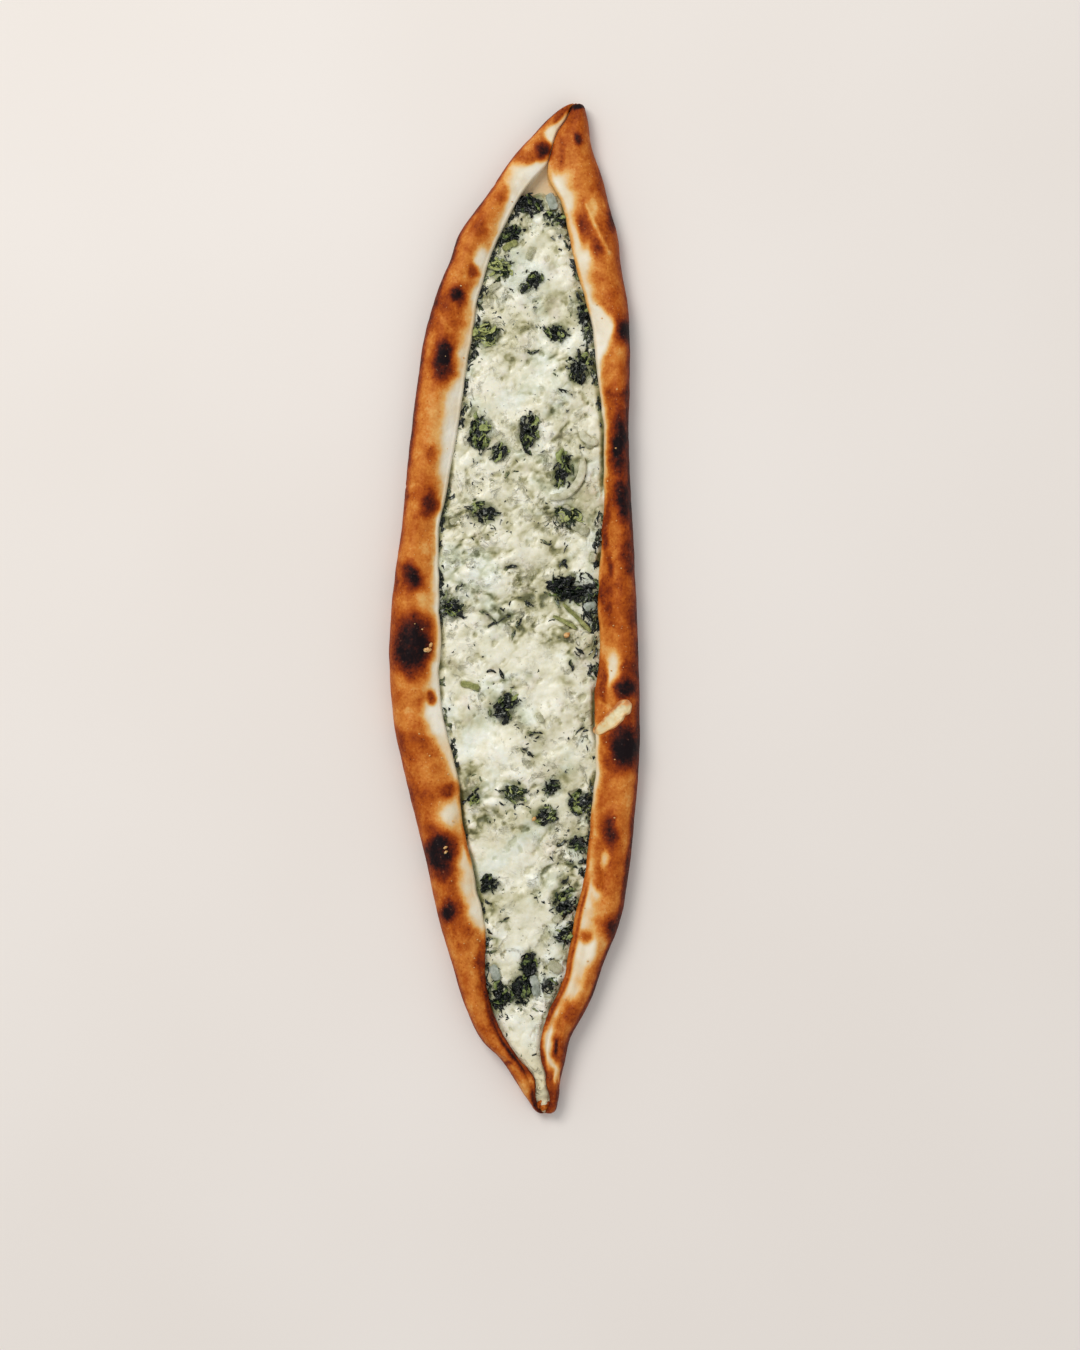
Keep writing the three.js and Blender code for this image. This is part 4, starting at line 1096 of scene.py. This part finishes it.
def cheese_surface(x, y):
    """The cheese's height, and its painted shade, darker between the curds and in the moat by the walls."""
    relief, depth = curd_relief(x, y)
    to_wall = wall_distance(x, y)
    narrow_end = 1 - smooth(y, -212, -186)
    wavy = 1.0 + 0.9 * fractal(x, y, 8, 260, 3)
    moat = (1 - smooth(to_wall, 0.2, 1.4 + 1.4 * np.clip(wavy, 0, 2))) * (1 - 0.8 * narrow_end)
    uneven = smooth(fractal(x, y, 15, 270, 2), -0.15, 0.5)
    height = filling_height(x, y) + relief + 1.3 * narrow_end - moat * (MOAT_DEPTH + MOAT_DEEPER * uneven)
    # The moat is painted darker as shade, as well as sunk
    return height, np.clip(depth + 0.75 * moat * (0.12 + 0.88 * uneven), 0, 1)


def make_cheese():
    rows = np.linspace(FILLING_FROM - PAST_BOTTOM, FILLING_TO + PAST_TOP, CHEESE_ROWS)[:, None]
    across = np.linspace(0, 1, CHEESE_COLUMNS)[None, :]
    x = blend(inner_edge("left", rows) - UNDER_LIP, inner_edge("right", rows) + UNDER_LIP, across)
    y = rows + 0 * x
    height, depth = cheese_surface(x, y)
    ragged = fractal(x, y, 7, 280, 3)
    top_end = smooth(y, FILLING_TO - 7 + 4 * ragged, FILLING_TO + 1 + 3 * ragged)
    bottom_end = 1 - smooth(y, FILLING_FROM - PAST_BOTTOM, FILLING_FROM + 6 + 3 * ragged)
    height = height - TOP_END_DROP * top_end - BOTTOM_END_DROP * bottom_end
    melted = spotted(x, y, MELTED)
    clean = smooth(y, -218, -190)
    outline = beside_bars(x, y)
    beside = beside_streaks(x, y)
    # depth is painted shade: fainter towards the bottom end but darker over its last stretch, and darker in
    # the gaps round the onion pieces and along the leaf streaks
    depth = depth * (0.45 + 0.55 * clean) + 0.2 * (1 - smooth(y, -228, -210))
    depth = np.clip(depth + 0.55 * outline + 0.5 * beside, 0, 1)
    leafy = smooth(fractal(x, y, 18, 290, 2), -0.1, 0.5)
    # Greener by the walls: leaf stain, and partly painted shade in the gap along them
    edge_green_and_shade = 0.8 * (1 - smooth(wall_distance(x, y), 0.5, 4)) * leafy
    scattered = 0.16 * smooth(fractal(x, y, 6, 300, 3), 0.15, 0.6) * (1 - melted)
    green = clean * (0.85 * near_spinach(x, y, 5) + edge_green_and_shade + scattered) + 0.6 * beside
    baked = 0.75 * (1 - smooth(y, -222, -196))
    curd = 1 - 0.8 * melted + 0.7 * spotted(x, y, FLECKED)
    sunk = 0.45 * smooth(near_spinach(x, y, 2), 0.55, 1)
    height = height - 0.5 * outline - 0.4 * beside - sunk

    # Each row of points is closed underneath, just inside the dough, by its two lower corners
    low = floor_height(rows) - BED_SUNK
    height = np.hstack([np.maximum(height, low + 0.3), low, low])
    x = np.hstack([x, x[:, -1:], x[:, :1]])
    points = np.stack([x, rows + 0 * x, height], axis=-1).reshape(-1, 3)
    ring = x.shape[1]
    faces = grid_faces(CHEESE_ROWS, ring, wrap=True)
    faces += [list(range(ring))[::-1], list(range((CHEESE_ROWS - 1) * ring, CHEESE_ROWS * ring))]
    corners = np.zeros((CHEESE_ROWS, 2))
    fields = {"green": green, "curd": curd, "baked": baked}
    fields = {name: np.hstack([values, corners]) for name, values in fields.items()}
    fields["depth"] = np.hstack([depth, corners + 1])
    bed = make_piece("cheese_bed", points, faces, cheese_material(), fields)
    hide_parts("filling")


# Leaves

def leaf_mesh(rng, centre, length, width, turn, tilt, curl, steps, thickness=LEAF_THICKNESS):
    """A crumpled scrap of leaf as a thin closed sheet. Returns points, faces and a tone at each point."""
    u, v = unit_grid(*steps)
    seed = rng.random() * 100
    ragged = 1 + 0.34 * noise(u * 2.2 + seed, np.sign(v) * 3, 7)
    ragged = ragged + 0.26 * noise(u * 5 + seed, np.sign(v) * 5, 10)
    half = width / 2 * np.sqrt(np.clip(1 - 0.86 * u ** 2, 0.1, 1)) * ragged
    x = u * length / 2 + 0.12 * length * noise(u * 1.5 + seed, v, 8)
    y = v * half + rng.uniform(-0.22, 0.22) * length * (1 - u ** 2)
    fold = rng.uniform(0.5, 1.1)
    z = fold * 0.28 * width * np.sin(v * 1.6 + u * 1.3 + seed) + curl * length * 0.2 * (u ** 2 - 0.3)
    crumple = noise(u * 2.4 + seed, v * 1.6 - seed, 9) + 0.3 * noise(u * 5 - seed, v * 3.4 + seed, 15)
    z = z + 0.24 * width * crumple
    tilt_x, tilt_y = math.radians(tilt[0]), math.radians(tilt[1])
    z = z + y * math.sin(tilt_x) + x * math.sin(tilt_y)
    dx, dy = turned(x * math.cos(tilt_y), y * math.cos(tilt_x), turn)
    top = (np.stack([dx, dy, z], axis=-1) + centre).reshape(-1, 3)
    tone = rng.random() ** 1.3 + 0.16 * crumple.ravel()
    return np.vstack([top, top - (0, 0, thickness)]), closed_sheet_faces(*steps), np.append(tone, tone)


def joined(parts):
    """Several (points, faces, tone) as one."""
    points, faces, tones = [], [], []
    start = 0
    for part_points, part_faces, part_tone in parts:
        points.append(part_points)
        faces += [[index + start for index in face] for face in part_faces]
        tones.append(part_tone)
        start += len(part_points)
    return np.vstack(points), faces, np.concatenate(tones)


def on_cheese(x, y, lift):
    """A point at a height over the cheese."""
    return x, y, float(cheese_surface(x, y)[0]) + lift


def clump_mesh(rng, place):
    """A spinach clump: a dark lump of packed leaf with scraps lying over and beside it."""
    cx, cy, half_length, half_width, turn = place
    z = float(filling_height(cx, cy))
    seed = rng.random() * 100
    radius = np.linspace(0, 1, CLUMP_RINGS)[:, None]
    angle = np.linspace(0, 2 * math.pi, CLUMP_SECTORS, endpoint=False)[None, :]
    ragged = 0.84 + 0.42 * noise(np.cos(angle) * 1.6 + seed, np.sin(angle) * 1.6, 11)
    ragged = ragged + 0.3 * noise(np.cos(angle) * 4 + seed, np.sin(angle) * 4, 12)
    u = CLUMP_CORE * radius * ragged * half_length * np.cos(angle)
    v = CLUMP_CORE * radius * ragged * half_width * np.sin(angle)
    up = 0.35 * (1 - radius ** 3) + 1.3 * fractal(u + seed, v, 3.0, 400, 3) * (1 - 0.3 * radius)
    dx, dy = turned(u, v, turn)
    top = np.stack([cx + dx, cy + dy, z + up - 0.5 * radius ** 4], axis=-1).reshape(-1, 3)
    bottom = np.column_stack([top[:, :2], np.full(len(top), z - 1.2)])
    faces = [face[::-1] for face in closed_sheet_faces(CLUMP_RINGS, CLUMP_SECTORS, wrap=True)]
    parts = [(np.vstack([top, bottom]), faces, np.full(2 * len(top), 0.1))]
    for _ in range(int(8 + 0.62 * half_length * half_width)):
        far = math.sqrt(rng.random()) * 1.12
        around = rng.random() * 2 * math.pi
        dx, dy = turned(far * half_length * math.cos(around), far * half_width * math.sin(around), turn)
        x, y = cx + dx, cy + dy
        if wall_distance(x, y) < CLUMP_CLEARANCE:
            continue
        lift = 1.1 * (1 - far ** 2) + rng.uniform(-0.1, 0.45)
        length = rng.uniform(2.2, 4.4) + 0.45 * half_length * rng.random()
        width = length * rng.uniform(0.24, 0.6)
        tilt = (rng.uniform(-42, 42), rng.uniform(-18, 18))
        spin = turn + rng.gauss(0, 38)
        curl = rng.uniform(-0.6, 0.8)
        centre = (x, y, z + max(lift, -0.05))
        parts.append(leaf_mesh(rng, centre, length, width, spin, tilt, curl, (12, 7)))
    return joined(parts)


def make_spinach():
    dark = leaf_material("cooked_spinach", (8, 14, 9), (58, 72, 36), (150, 160, 94), 1.35, 0.6)
    black = leaf_material("darkest_spinach", (5, 10, 7), (38, 54, 28), (130, 144, 78), 1.15, 0.12)
    green = leaf_material("green_spinach", (28, 38, 18), (92, 104, 52), (170, 176, 110), 1.7, 0.6)
    for i, place in enumerate(SPINACH):
        rng = random.Random(500 + i)
        left = float(inner_edge("left", place[1])) + CLUMP_INSET
        right = float(inner_edge("right", place[1])) - CLUMP_INSET
        a = math.radians(place[4])
        reach = 0.95 * math.hypot(place[2] * math.cos(a), place[3] * math.sin(a))
        # The outermost clumps move in until they lie clear of the walls
        x = min(max(place[0], left + reach), right - reach)
        points, faces, tone = clump_mesh(rng, (x, *place[1:]))
        name = f"spinach_{i + 1:02d}"
        leaf = green if i in GREENER else black if i in DARKER else dark
        clump = make_piece(f"{name}_leaves", points, faces, leaf, {"tone": tone})
        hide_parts(name)


def strewn_places(rng):
    """Seeded places for small leaf scraps: more of them by the clumps and along the walls."""
    places = []
    for _ in range(STREWN_TRIES):
        y = rng.uniform(FILLING_FROM + 4, FILLING_TO - 3)
        x = rng.uniform(float(inner_edge("left", y)) + 0.5, float(inner_edge("right", y)) - 0.5)
        weight = 0.12 + 0.5 * near_spinach(x, y, 11)
        weight += 0.45 * smooth(fractal(x, y, 26, 310, 3), 0.0, 0.55)
        weight += 0.5 * (1 - smooth(wall_distance(x, y), 0.5, 4))
        weight += 0.6 * spotted(x, y, FLECKED)
        weight *= 1 - 0.72 * spotted(x, y, MELTED)
        weight *= 0.2 + 0.8 * smooth(y, -206, -186)
        if rng.random() < weight:
            places.append((x, y))
        if len(places) == STREWN:
            break
    return places


def wall_places(rng):
    """Seeded places for scraps that line the walls, with the wall's direction there in degrees."""
    places = []
    for side, first, last, reach, count in WALL_LEAVES:
        for _ in range(count):
            y = rng.uniform(first, last)
            off = 0.7 + reach * rng.random() ** 1.5
            x = float(inner_edge(side, y)) + INWARD[side] * off
            ahead = float(inner_edge(side, y + 2)) - float(inner_edge(side, y - 2))
            places.append((x, y, math.degrees(math.atan2(4, ahead)) + rng.gauss(0, 28)))
    return places


def strewn_leaf(rng, x, y):
    """One of the small scraps, and whether it is a dark one. The pale ones are soaked, small and sunk."""
    is_dark = rng.random() < 0.7
    kind = rng.random()
    if kind > 0.68 and spotted(x, y, FLECKED) > 0.4:
        is_dark = True
        kind = 0.95
    longest = 1.8 if kind < 0.7 else 3.6 if kind < 0.9 else 4.4
    length = rng.uniform(0.6 if kind < 0.7 else 1.8, longest)
    width = min(length * rng.uniform(0.35, 0.8), 1.5) if kind < 0.9 else rng.uniform(0.5, 1.2)
    length = min(length, 2 * float(wall_distance(x, y)) + 1.0)
    tilt = (rng.uniform(-22, 22), rng.uniform(-10, 10))
    if is_dark:
        lift = rng.uniform(-0.14, 0.1) + (0.14 if kind >= 0.9 else 0)
    else:
        length *= 0.6
        width *= 0.55
        lift = rng.uniform(-0.2, 0.02)
    turn = rng.uniform(0, 360)
    curl = rng.uniform(-0.4, 0.3)
    return leaf_mesh(rng, on_cheese(x, y, lift), length, width, turn, tilt, curl, (5, 4)), is_dark


def streak_leaves(rng, x, y, length, turn):
    """The long thin scraps along a streak."""
    leaves = []
    for _ in range(int(1 + length / 2)):
        dx, dy = turned(rng.uniform(-0.5, 0.5) * (length - 2), 0, turn)
        centre = on_cheese(x + dx, y + dy, rng.uniform(0.05, 0.3))
        spin = turn + rng.gauss(0, 14)
        tilt = (rng.uniform(-25, 25), rng.uniform(-6, 6))
        size = (rng.uniform(2.8, 5), rng.uniform(0.5, 1.15))
        leaves.append(leaf_mesh(rng, centre, *size, spin, tilt, -0.2, (7, 5)))
    return leaves


def wall_leaf(rng, x, y, turn):
    """A larger scrap that lies along a wall."""
    size = (rng.uniform(2.4, 6), rng.uniform(0.9, 2.4))
    tilt = (rng.uniform(-30, 30), rng.uniform(-10, 10))
    centre = on_cheese(x, y, rng.uniform(0, 0.5))
    return leaf_mesh(rng, centre, *size, turn, tilt, rng.uniform(-0.4, 0.4), (8, 5), 1.1 * LEAF_THICKNESS)


def make_flecks():
    rng = random.Random(77)
    shreds, soaked = [], []
    for x, y in strewn_places(rng):
        leaf, is_dark = strewn_leaf(rng, x, y)
        (shreds if is_dark else soaked).append(leaf)
    for streak in STREAKS:
        shreds += streak_leaves(rng, *streak)
    for place in wall_places(rng):
        shreds.append(wall_leaf(rng, *place))
    chopped = leaf_material("chopped_spinach", (20, 26, 20), (58, 66, 44), (122, 128, 88), 1.2)
    soft = leaf_material("soaked_spinach", (66, 72, 48), (104, 108, 72), (150, 152, 110), 1.1)
    for name, leaves, material in (("spinach_shreds", shreds, chopped), ("soaked_shreds", soaked, soft)):
        points, faces, tone = joined(leaves)
        make_piece(name, points, faces, material, {"tone": tone})


# Onion, stalks, spill and crumbs

def bar_mesh(path, half_width, rise, lift=0.0):
    """A ribbed bar along a path of (x, y) on the filling. Returns points, faces and a field across it."""
    heading = np.gradient(path, axis=0)
    heading /= np.linalg.norm(heading, axis=1, keepdims=True)
    turn = np.linspace(0, 2 * math.pi, BAR_SIDES, endpoint=False)[None, :]
    across = np.sign(np.cos(turn)) * np.abs(np.cos(turn)) ** 0.7
    steep = np.abs(np.sin(turn))
    height = np.where(np.sin(turn) > 0, rise * steep ** 0.75, -CHIP_SINK * steep ** 0.6)
    x, y = path[:, :1], path[:, 1:]
    t = np.linspace(0, 1, len(path))[:, None]
    narrow = 0.62 + 0.38 * np.minimum(1, 8 * np.minimum(t, 1 - t))
    offset = half_width * across * narrow * (1 + 0.06 * np.sin(17 * t + np.arange(BAR_SIDES)))
    middle = filling_height(x, y) + lift + 0.12 * rise * np.sin(9 * t + x)
    rings = np.stack([
        x - heading[:, 1:] * offset,
        y + heading[:, :1] * offset,
        middle + height * (0.8 + 0.2 * narrow),
    ], axis=-1)
    points, faces = closed_tube(rings)
    line = np.append((across * half_width + 0 * t).ravel(), (0, 0))
    return points, [face[::-1] for face in faces], line


def straight_path(x, y, half_length, turn, steps, bow):
    """Points along a turned line that bows a little to one side."""
    t = np.linspace(-1, 1, steps)
    dx, dy = turned(half_length * t, bow * (1 - t ** 2), turn)
    return np.stack([x + dx, y + dy], axis=-1)


def arc_path(x, y, radius, first, last, steps=44):
    """Points along a slightly uneven arc."""
    a = np.radians(np.linspace(first, last, steps))
    uneven = radius * (1 + 0.03 * np.sin(3 * a))
    return np.stack([x + uneven * np.cos(a), y + uneven * np.sin(a)], axis=-1)


def make_chips():
    onion = onion_material("grey_onion", (110, 118, 104), (160, 168, 152), (210, 214, 204))
    soft = onion_material("creamy_onion", (172, 170, 132), (210, 207, 176), (230, 227, 206))
    stalk = stalk_material()
    for name, x, y, half_length, half_width, turn in CHIPS:
        path = straight_path(x, y, half_length, turn, 16, 0.25 * half_width)
        points, faces, line = bar_mesh(path, half_width, CHIP_RISE, CHIP_LIFT)
        slot, material = ("stalk", stalk) if name.startswith("stalk") else ("onion", onion)
        chip = make_piece(f"{name}_flesh", points, faces, material, {"line": line})
        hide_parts(name)
    for name, x, y, radius, first, last in SLICES:
        path = arc_path(x, y, radius, first, last)
        points, faces, line = bar_mesh(path, SLICE_WIDTH / 2, CHIP_RISE, CHIP_LIFT)
        piece = make_piece(f"{name}_flesh", points, faces, soft, {"line": line})
        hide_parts(name)


def make_onion_bits():
    parts = []
    for x, y, half_length, half_width, turn in ONION_BITS:
        path = straight_path(x, y, half_length, turn, 10, 0.3 * half_width)
        parts.append(bar_mesh(path, half_width, 1.0))
    points, faces, line = joined(parts)
    clear = onion_material("clear_onion", (138, 138, 98), (180, 178, 146), (214, 211, 186))
    make_piece("onion_bits", points, faces, clear, {"line": line})


def lump_mesh(centre, radii, turn, seed, rings=14, sectors=28):
    """A lumpy blob, as points, faces and 0 at each point for a field."""
    up = np.linspace(-math.pi / 2, math.pi / 2, rings)[:, None]
    around = np.linspace(0, 2 * math.pi, sectors, endpoint=False)[None, :]
    way = np.stack([np.cos(up) * np.cos(around), np.cos(up) * np.sin(around), np.sin(up) + 0 * around])
    bumps = noise(way[0] * 2.3 + seed, way[1] * 2.3 + way[2] * 2, 13)
    bumps = bumps + 0.5 * noise(way[0] * 5 + seed, way[1] * 5 + way[2] * 4, 14)
    along, across, height = way * np.reshape(radii, (3, 1, 1)) * (1 + LUMPINESS * bumps)
    points = (np.stack([*turned(along, across, turn), height], axis=-1) + centre).reshape(-1, 3)
    return points, grid_faces(rings, sectors, wrap=True), np.zeros(len(points))


def rim_height(side, x, y):
    """The crust's height at a place on a rim."""
    section_x, section_z, share, _ = rim_section(side, np.array([float(y)]))
    top = share[0] > 0.12
    order = np.argsort(section_x[0][top])
    return float(np.interp(x, section_x[0][top][order], section_z[0][top][order]))


def make_spill():
    """A thin puddle of baked cheese with a raised golden rim and a tail towards the filling."""
    x, y, half_length, half_width, turn = SPILL
    u, v = unit_grid(SPILL_ROWS, SPILL_COLUMNS)
    wide = half_width * np.sqrt(np.clip(1 - u ** 4, 0, 1)) * blend(SPILL_TAIL, 1, smooth(u, -0.9, 0.5))
    wide = wide * (1 + 0.18 * noise(u * 3.4, np.sign(v) * 2, 21))
    along = u * half_length - SPILL_REACH * smooth(-u, 0, 1)
    dx, dy = turned(along, v * wide + 0.8 * np.sin(2.4 * u), turn)
    px, py = x + dx, y + dy
    crust = np.vectorize(rim_height)("right", px, py)
    inside = np.minimum(1 - np.abs(v), 1.6 * (1 - np.abs(u)))
    rim = np.exp(-((inside - 0.2 - 0.06 * noise(px, py, 22)) / 0.13) ** 2)
    wrinkle = fractal(px, py, 2.6, 500, 3)
    raised = SPILL_RISE * smooth(inside, 0, 0.3) * (0.66 + 0.4 * rim + 0.34 * wrinkle)
    top = np.stack([px, py, crust + raised - 0.2], axis=-1).reshape(-1, 3)
    bottom = np.stack([px, py, crust - 0.8], axis=-1).reshape(-1, 3)
    browned = smooth(wrinkle, -0.35, 0.25) * smooth(v, -0.5, 0.4)
    edge = 0.12 + 0.52 * (1 - smooth(inside, 0.05, 0.65)) + 0.42 * browned + 0.3 * wrinkle
    faces = closed_sheet_faces(SPILL_ROWS, SPILL_COLUMNS)
    fields = {"edge": np.append(edge.ravel(), np.ones(len(bottom)))}
    points = np.vstack([top, bottom])
    spill = make_piece("cheese_spill_crust", points, faces, spill_material(), fields)
    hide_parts("cheese_spill")


def make_knot():
    """The pinched end of the dough: a few browned lumps between the two rims."""
    parts = []
    for x, y, radius, brown in KNOT:
        radii = (radius, 0.8 * radius, 0.9 * radius)
        points, faces, _ = lump_mesh((x, y, KNOT_HEIGHT), radii, 40 * x, x + y)
        parts.append((points, faces, brown + 0.1 * noise(points[:, 0], points[:, 1], 24)))
    points, faces, bake = joined(parts)
    make_piece("end_knot", points, faces, bpy.data.materials["baked_dough"], {"bake": bake})


def crumb_mesh(place, radius, breadth, turn, seed, *divisions):
    """A flattened lump; breadth is its half width as a share of its radius."""
    return lump_mesh(place, (radius, breadth * radius, 0.7 * radius), turn, seed, *divisions)


def make_crumbs():
    rng = random.Random(31)
    parts = []
    for x, y, radius in RIM_CRUMBS:
        place = (x, y, rim_height("left", x, y) + 0.3 * radius)
        turn = rng.uniform(0, 180)
        parts.append(crumb_mesh(place, radius, 0.62, turn, rng.random() * 50, 9, 14))
    for x, y, radius in CHEESE_CRUMBS:
        parts.append(crumb_mesh(on_cheese(x, y, 0.2 * radius), radius, 0.7, 40, rng.random() * 50, 9, 14))
    for _ in range(TINY_CRUMBS):
        side = rng.choice(("left", "right"))
        y = rng.uniform(-205, 205)
        share = rng.uniform(0.35, 0.95)
        x = float(blend(OUTER[side](y), inner_edge(side, y), share))
        radius = rng.uniform(0.22, 0.5)
        place = (x, y, rim_height(side, x, y) + 0.25 * radius)
        parts.append(crumb_mesh(place, radius, 0.8, 0, rng.random() * 50, 6, 8))
    points, faces, _ = joined(parts)
    make_piece("crumbs", points, faces, crumb_material())


# Floor, light and camera

def make_stage():
    n = Nodes("pale_floor")
    colour = n.ramp(n.noise(260, 2), [(0.3, 228, 221, 214), (0.7, 232, 226, 220)])
    n.finish(colour, 0.85, n.bump(n.noise(30, 2), 0.1, 0.1), specular=0.1)
    mesh = bpy.data.meshes.new("floor")
    corners = [(x * FLOOR_REACH, y * FLOOR_REACH, 0) for x, y in ((-1, -1), (1, -1), (1, 1), (-1, 1))]
    mesh.from_pydata(corners, [], [(0, 1, 2, 3)])
    mesh.materials.append(n.material)
    floor = bpy.data.objects.new("floor", mesh)
    bpy.context.scene.collection.objects.link(floor)


def add_area_light(name, place, size, power, colour):
    light = bpy.data.lights.new(name, "AREA")
    light.size = size
    light.energy = power
    light.color = colour
    lamp = bpy.data.objects.new(name, light)
    lamp.location = place
    x, y, z = place
    lamp.rotation_euler = (math.atan2(math.hypot(x, y), z), 0, math.atan2(-y, -x) - math.pi / 2)
    bpy.context.scene.collection.objects.link(lamp)


def make_light():
    world = bpy.data.worlds.new("soft_room")
    world.use_nodes = True
    background = world.node_tree.nodes["Background"]
    background.inputs["Color"].default_value = ROOM_COLOUR
    background.inputs["Strength"].default_value = ROOM_LIGHT
    bpy.context.scene.world = world
    for light in LIGHTS:
        add_area_light(*light)


def make_camera():
    camera = bpy.data.cameras.new("camera")
    camera.sensor_fit = "HORIZONTAL"
    camera.sensor_width = SENSOR_MM
    camera.lens = SENSOR_MM * VIEW_DISTANCE / VIEW_WIDTH
    camera.clip_end = 20
    holder = bpy.data.objects.new("camera", camera)
    holder.location = (*VIEW_MIDDLE, VIEW_DISTANCE + VIEW_LEVEL)
    bpy.context.scene.collection.objects.link(holder)
    bpy.context.scene.camera = holder
    bpy.context.scene.view_settings.view_transform = "Standard"


make_crust()
make_cheese()
make_spinach()
make_flecks()
make_chips()
make_onion_bits()
make_spill()
make_knot()
make_crumbs()
make_stage()
make_light()
make_camera()
